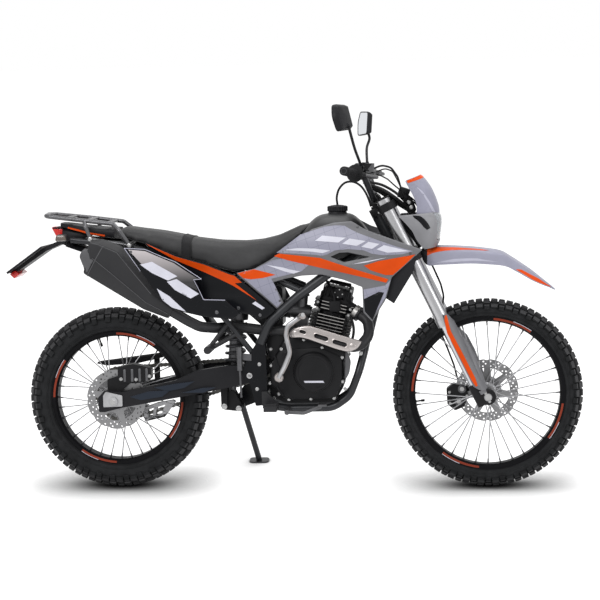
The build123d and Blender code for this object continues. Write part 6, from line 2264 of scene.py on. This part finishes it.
def front_details():
    """Pinch bolts of the clamps, axle ends and the caliper's pins."""
    heap = Heap()
    bosses = Heap()
    for side in BOTH:
        for b in (562, 582, 764):
            spot = steer(LEG_LEAD - 30, side * (LEG_Y + 10), b)
            heap.add(*bolt(spot, (-1, 0, -0.2), 4.5, 5))
        bosses.across([(0, 29), (0.8, 29), (1, 26)], *FRONT_AXLE, side * 98, side * 118, 32)
        bosses.add(*bolt((WHEELBASE, side * 116, FRONT_R), (0, side, 0), 20, 4, 24))
        heap.add(*bolt((WHEELBASE, side * 117, FRONT_R), (0, side, 0), 12, 6))
        for up in (-16, 16):
            spot = steer(AXLE_LEAD - 2, side * (LEG_Y + 22), AXLE_UP + up)
            heap.add(*bolt(spot, (0, side, 0), 4, 4))
        for spot in ((1084, side * 27, 1042), (1093, side * 27, 1024)):
            heap.add(*bolt(spot, (0, side, 0), 6, 5))
    heap.make("fork_bolts", "bolt_steel", "steering")
    bosses.add(*cushion([(1060, 1054), (1092, 1062), (1110, 1016), (1106, 1004), (1078, 1004)],
                        -28, 28, 4, 6))
    bosses.make("front_bosses", "engine_black", "steering")
    rings = Heap()
    for side in BOTH:
        for b, radius in ((298, 27.4), (310, 27.0), (800, 26.6)):
            start = steer(LEG_LEAD, side * LEG_Y, b)
            end = steer(LEG_LEAD, side * LEG_Y, b + 5)
            rings.add(*turned([(0, radius - 1), (0.2, radius), (0.8, radius), (1, radius - 1)],
                              start, end, 28))
    rings.make("fork_seals", "rubber_black", "steering")


def chain_guard():
    """Black guard over the upper run, and the windowed guide on the lower run."""
    guard = Heap()
    outline = [(-98, 452), (-92, 460), (60, 480), (150, 492), (196, 494), (194, 484), (140, 470),
               (60, 452), (-60, 444)]
    guard.add(*cushion(outline, 60, 78, 3, 4))
    guard.add(*cushion([(118, 370), (118, 480), (140, 484), (140, 374)], 76, 82, 1.5, 2))
    made = guard.make("chain_guard", "black_plastic", "chassis", slot="black_plastic")
    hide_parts("chain_guides")
    guide = Heap()
    outline = [(81, 232), (77, 284), (129, 302), (189, 312), (198, 306), (158, 250)]
    windows = [[(96, 250), (94, 276), (116, 284), (112, 252)],
               [(124, 256), (128, 286), (160, 296), (146, 262)]]
    for y0, y1 in ((52, 56), (79, 81.5)):
        guide.add(*plate_xz(outline, y0, y1, windows, 30))
    guide.add(*cushion([(80, 236), (79, 250), (150, 262), (160, 252)], 52, 81, 2, 2))
    guide.bolts(((90, 290), (180, 300)), 81, 4, 4, LEFT)
    guide.make("chain_guide", "silver_alloy", "chassis", sharp=30)


def calipers():
    """Bridge ribs, pins and pad bolts on both brake calipers."""
    ribs = Heap()
    for x in (38, 66, 94, 120):
        top = 448 + x * 0.05
        ribs.add(*cushion([(x - 5, 404), (x - 5, top), (x + 5, top), (x + 5, 404)],
                          -89, -84, 2, 3))
    pins = Heap().bolts(((24, 414), (130, 424), (80, 412)), 87, 5, 5, RIGHT)
    ribs.make("rear_caliper_ribs", "dark_alloy", "chassis", sharp=40)
    pins.make("rear_caliper_pins", "bolt_steel", "chassis")
    front = Heap()
    fixings = Heap()
    for side, y in ((-1, 37), (1, 76)):
        for x, z in ((1268, 352), (1256, 306)):
            front.across([(0, 15), (0.8, 15), (1, 12)], x, z, y - side * 2, y + side * 4, 20)
            fixings.across([(0, 9), (1, 8)], x, z, y + side * 3, y + side * 5, 18)
        for x, z in ((1222, 340), (1224, 300), (1286, 326)):
            fixings.add(*bolt((x, y, z), (0, side, 0), 4, 4))
    front.make("front_caliper_caps", "dark_alloy", "steering", sharp=40)
    fixings.make("front_caliper_pins", "bolt_steel", "steering")


chain()
chain_guard()
calipers()
spring_damper()
arm_details()
front_details()
second_material(nodes["hand_controls"], "dark_alloy", lambda x, y, z: x > 950)
second_material(nodes["fork_legs"], "engine_black",
                lambda x, y, z: (z - FRONT_R) * cos(RAKE) - (x - WHEELBASE) * sin(RAKE) < 52)
second_material(nodes["front_brake_disc"], "fork_silver",
                lambda x, y, z: hypot(x - WHEELBASE, z - FRONT_R) < 74)
camera()
backdrop()
floor()
area_light("key", (-1.8, -3.2, 3.6), (0, 0, 0.5), (2.6, 1.8), 95)
area_light("top", (0.3, 0.4, 3.8), (0, 0, 0.4), (3.6, 2.2), 70)
area_light("front", (3.6, -2.0, 1.7), (0.2, 0, 0.6), (1.4, 1.8), 34)
bpy.context.scene.view_settings.view_transform = "Standard"
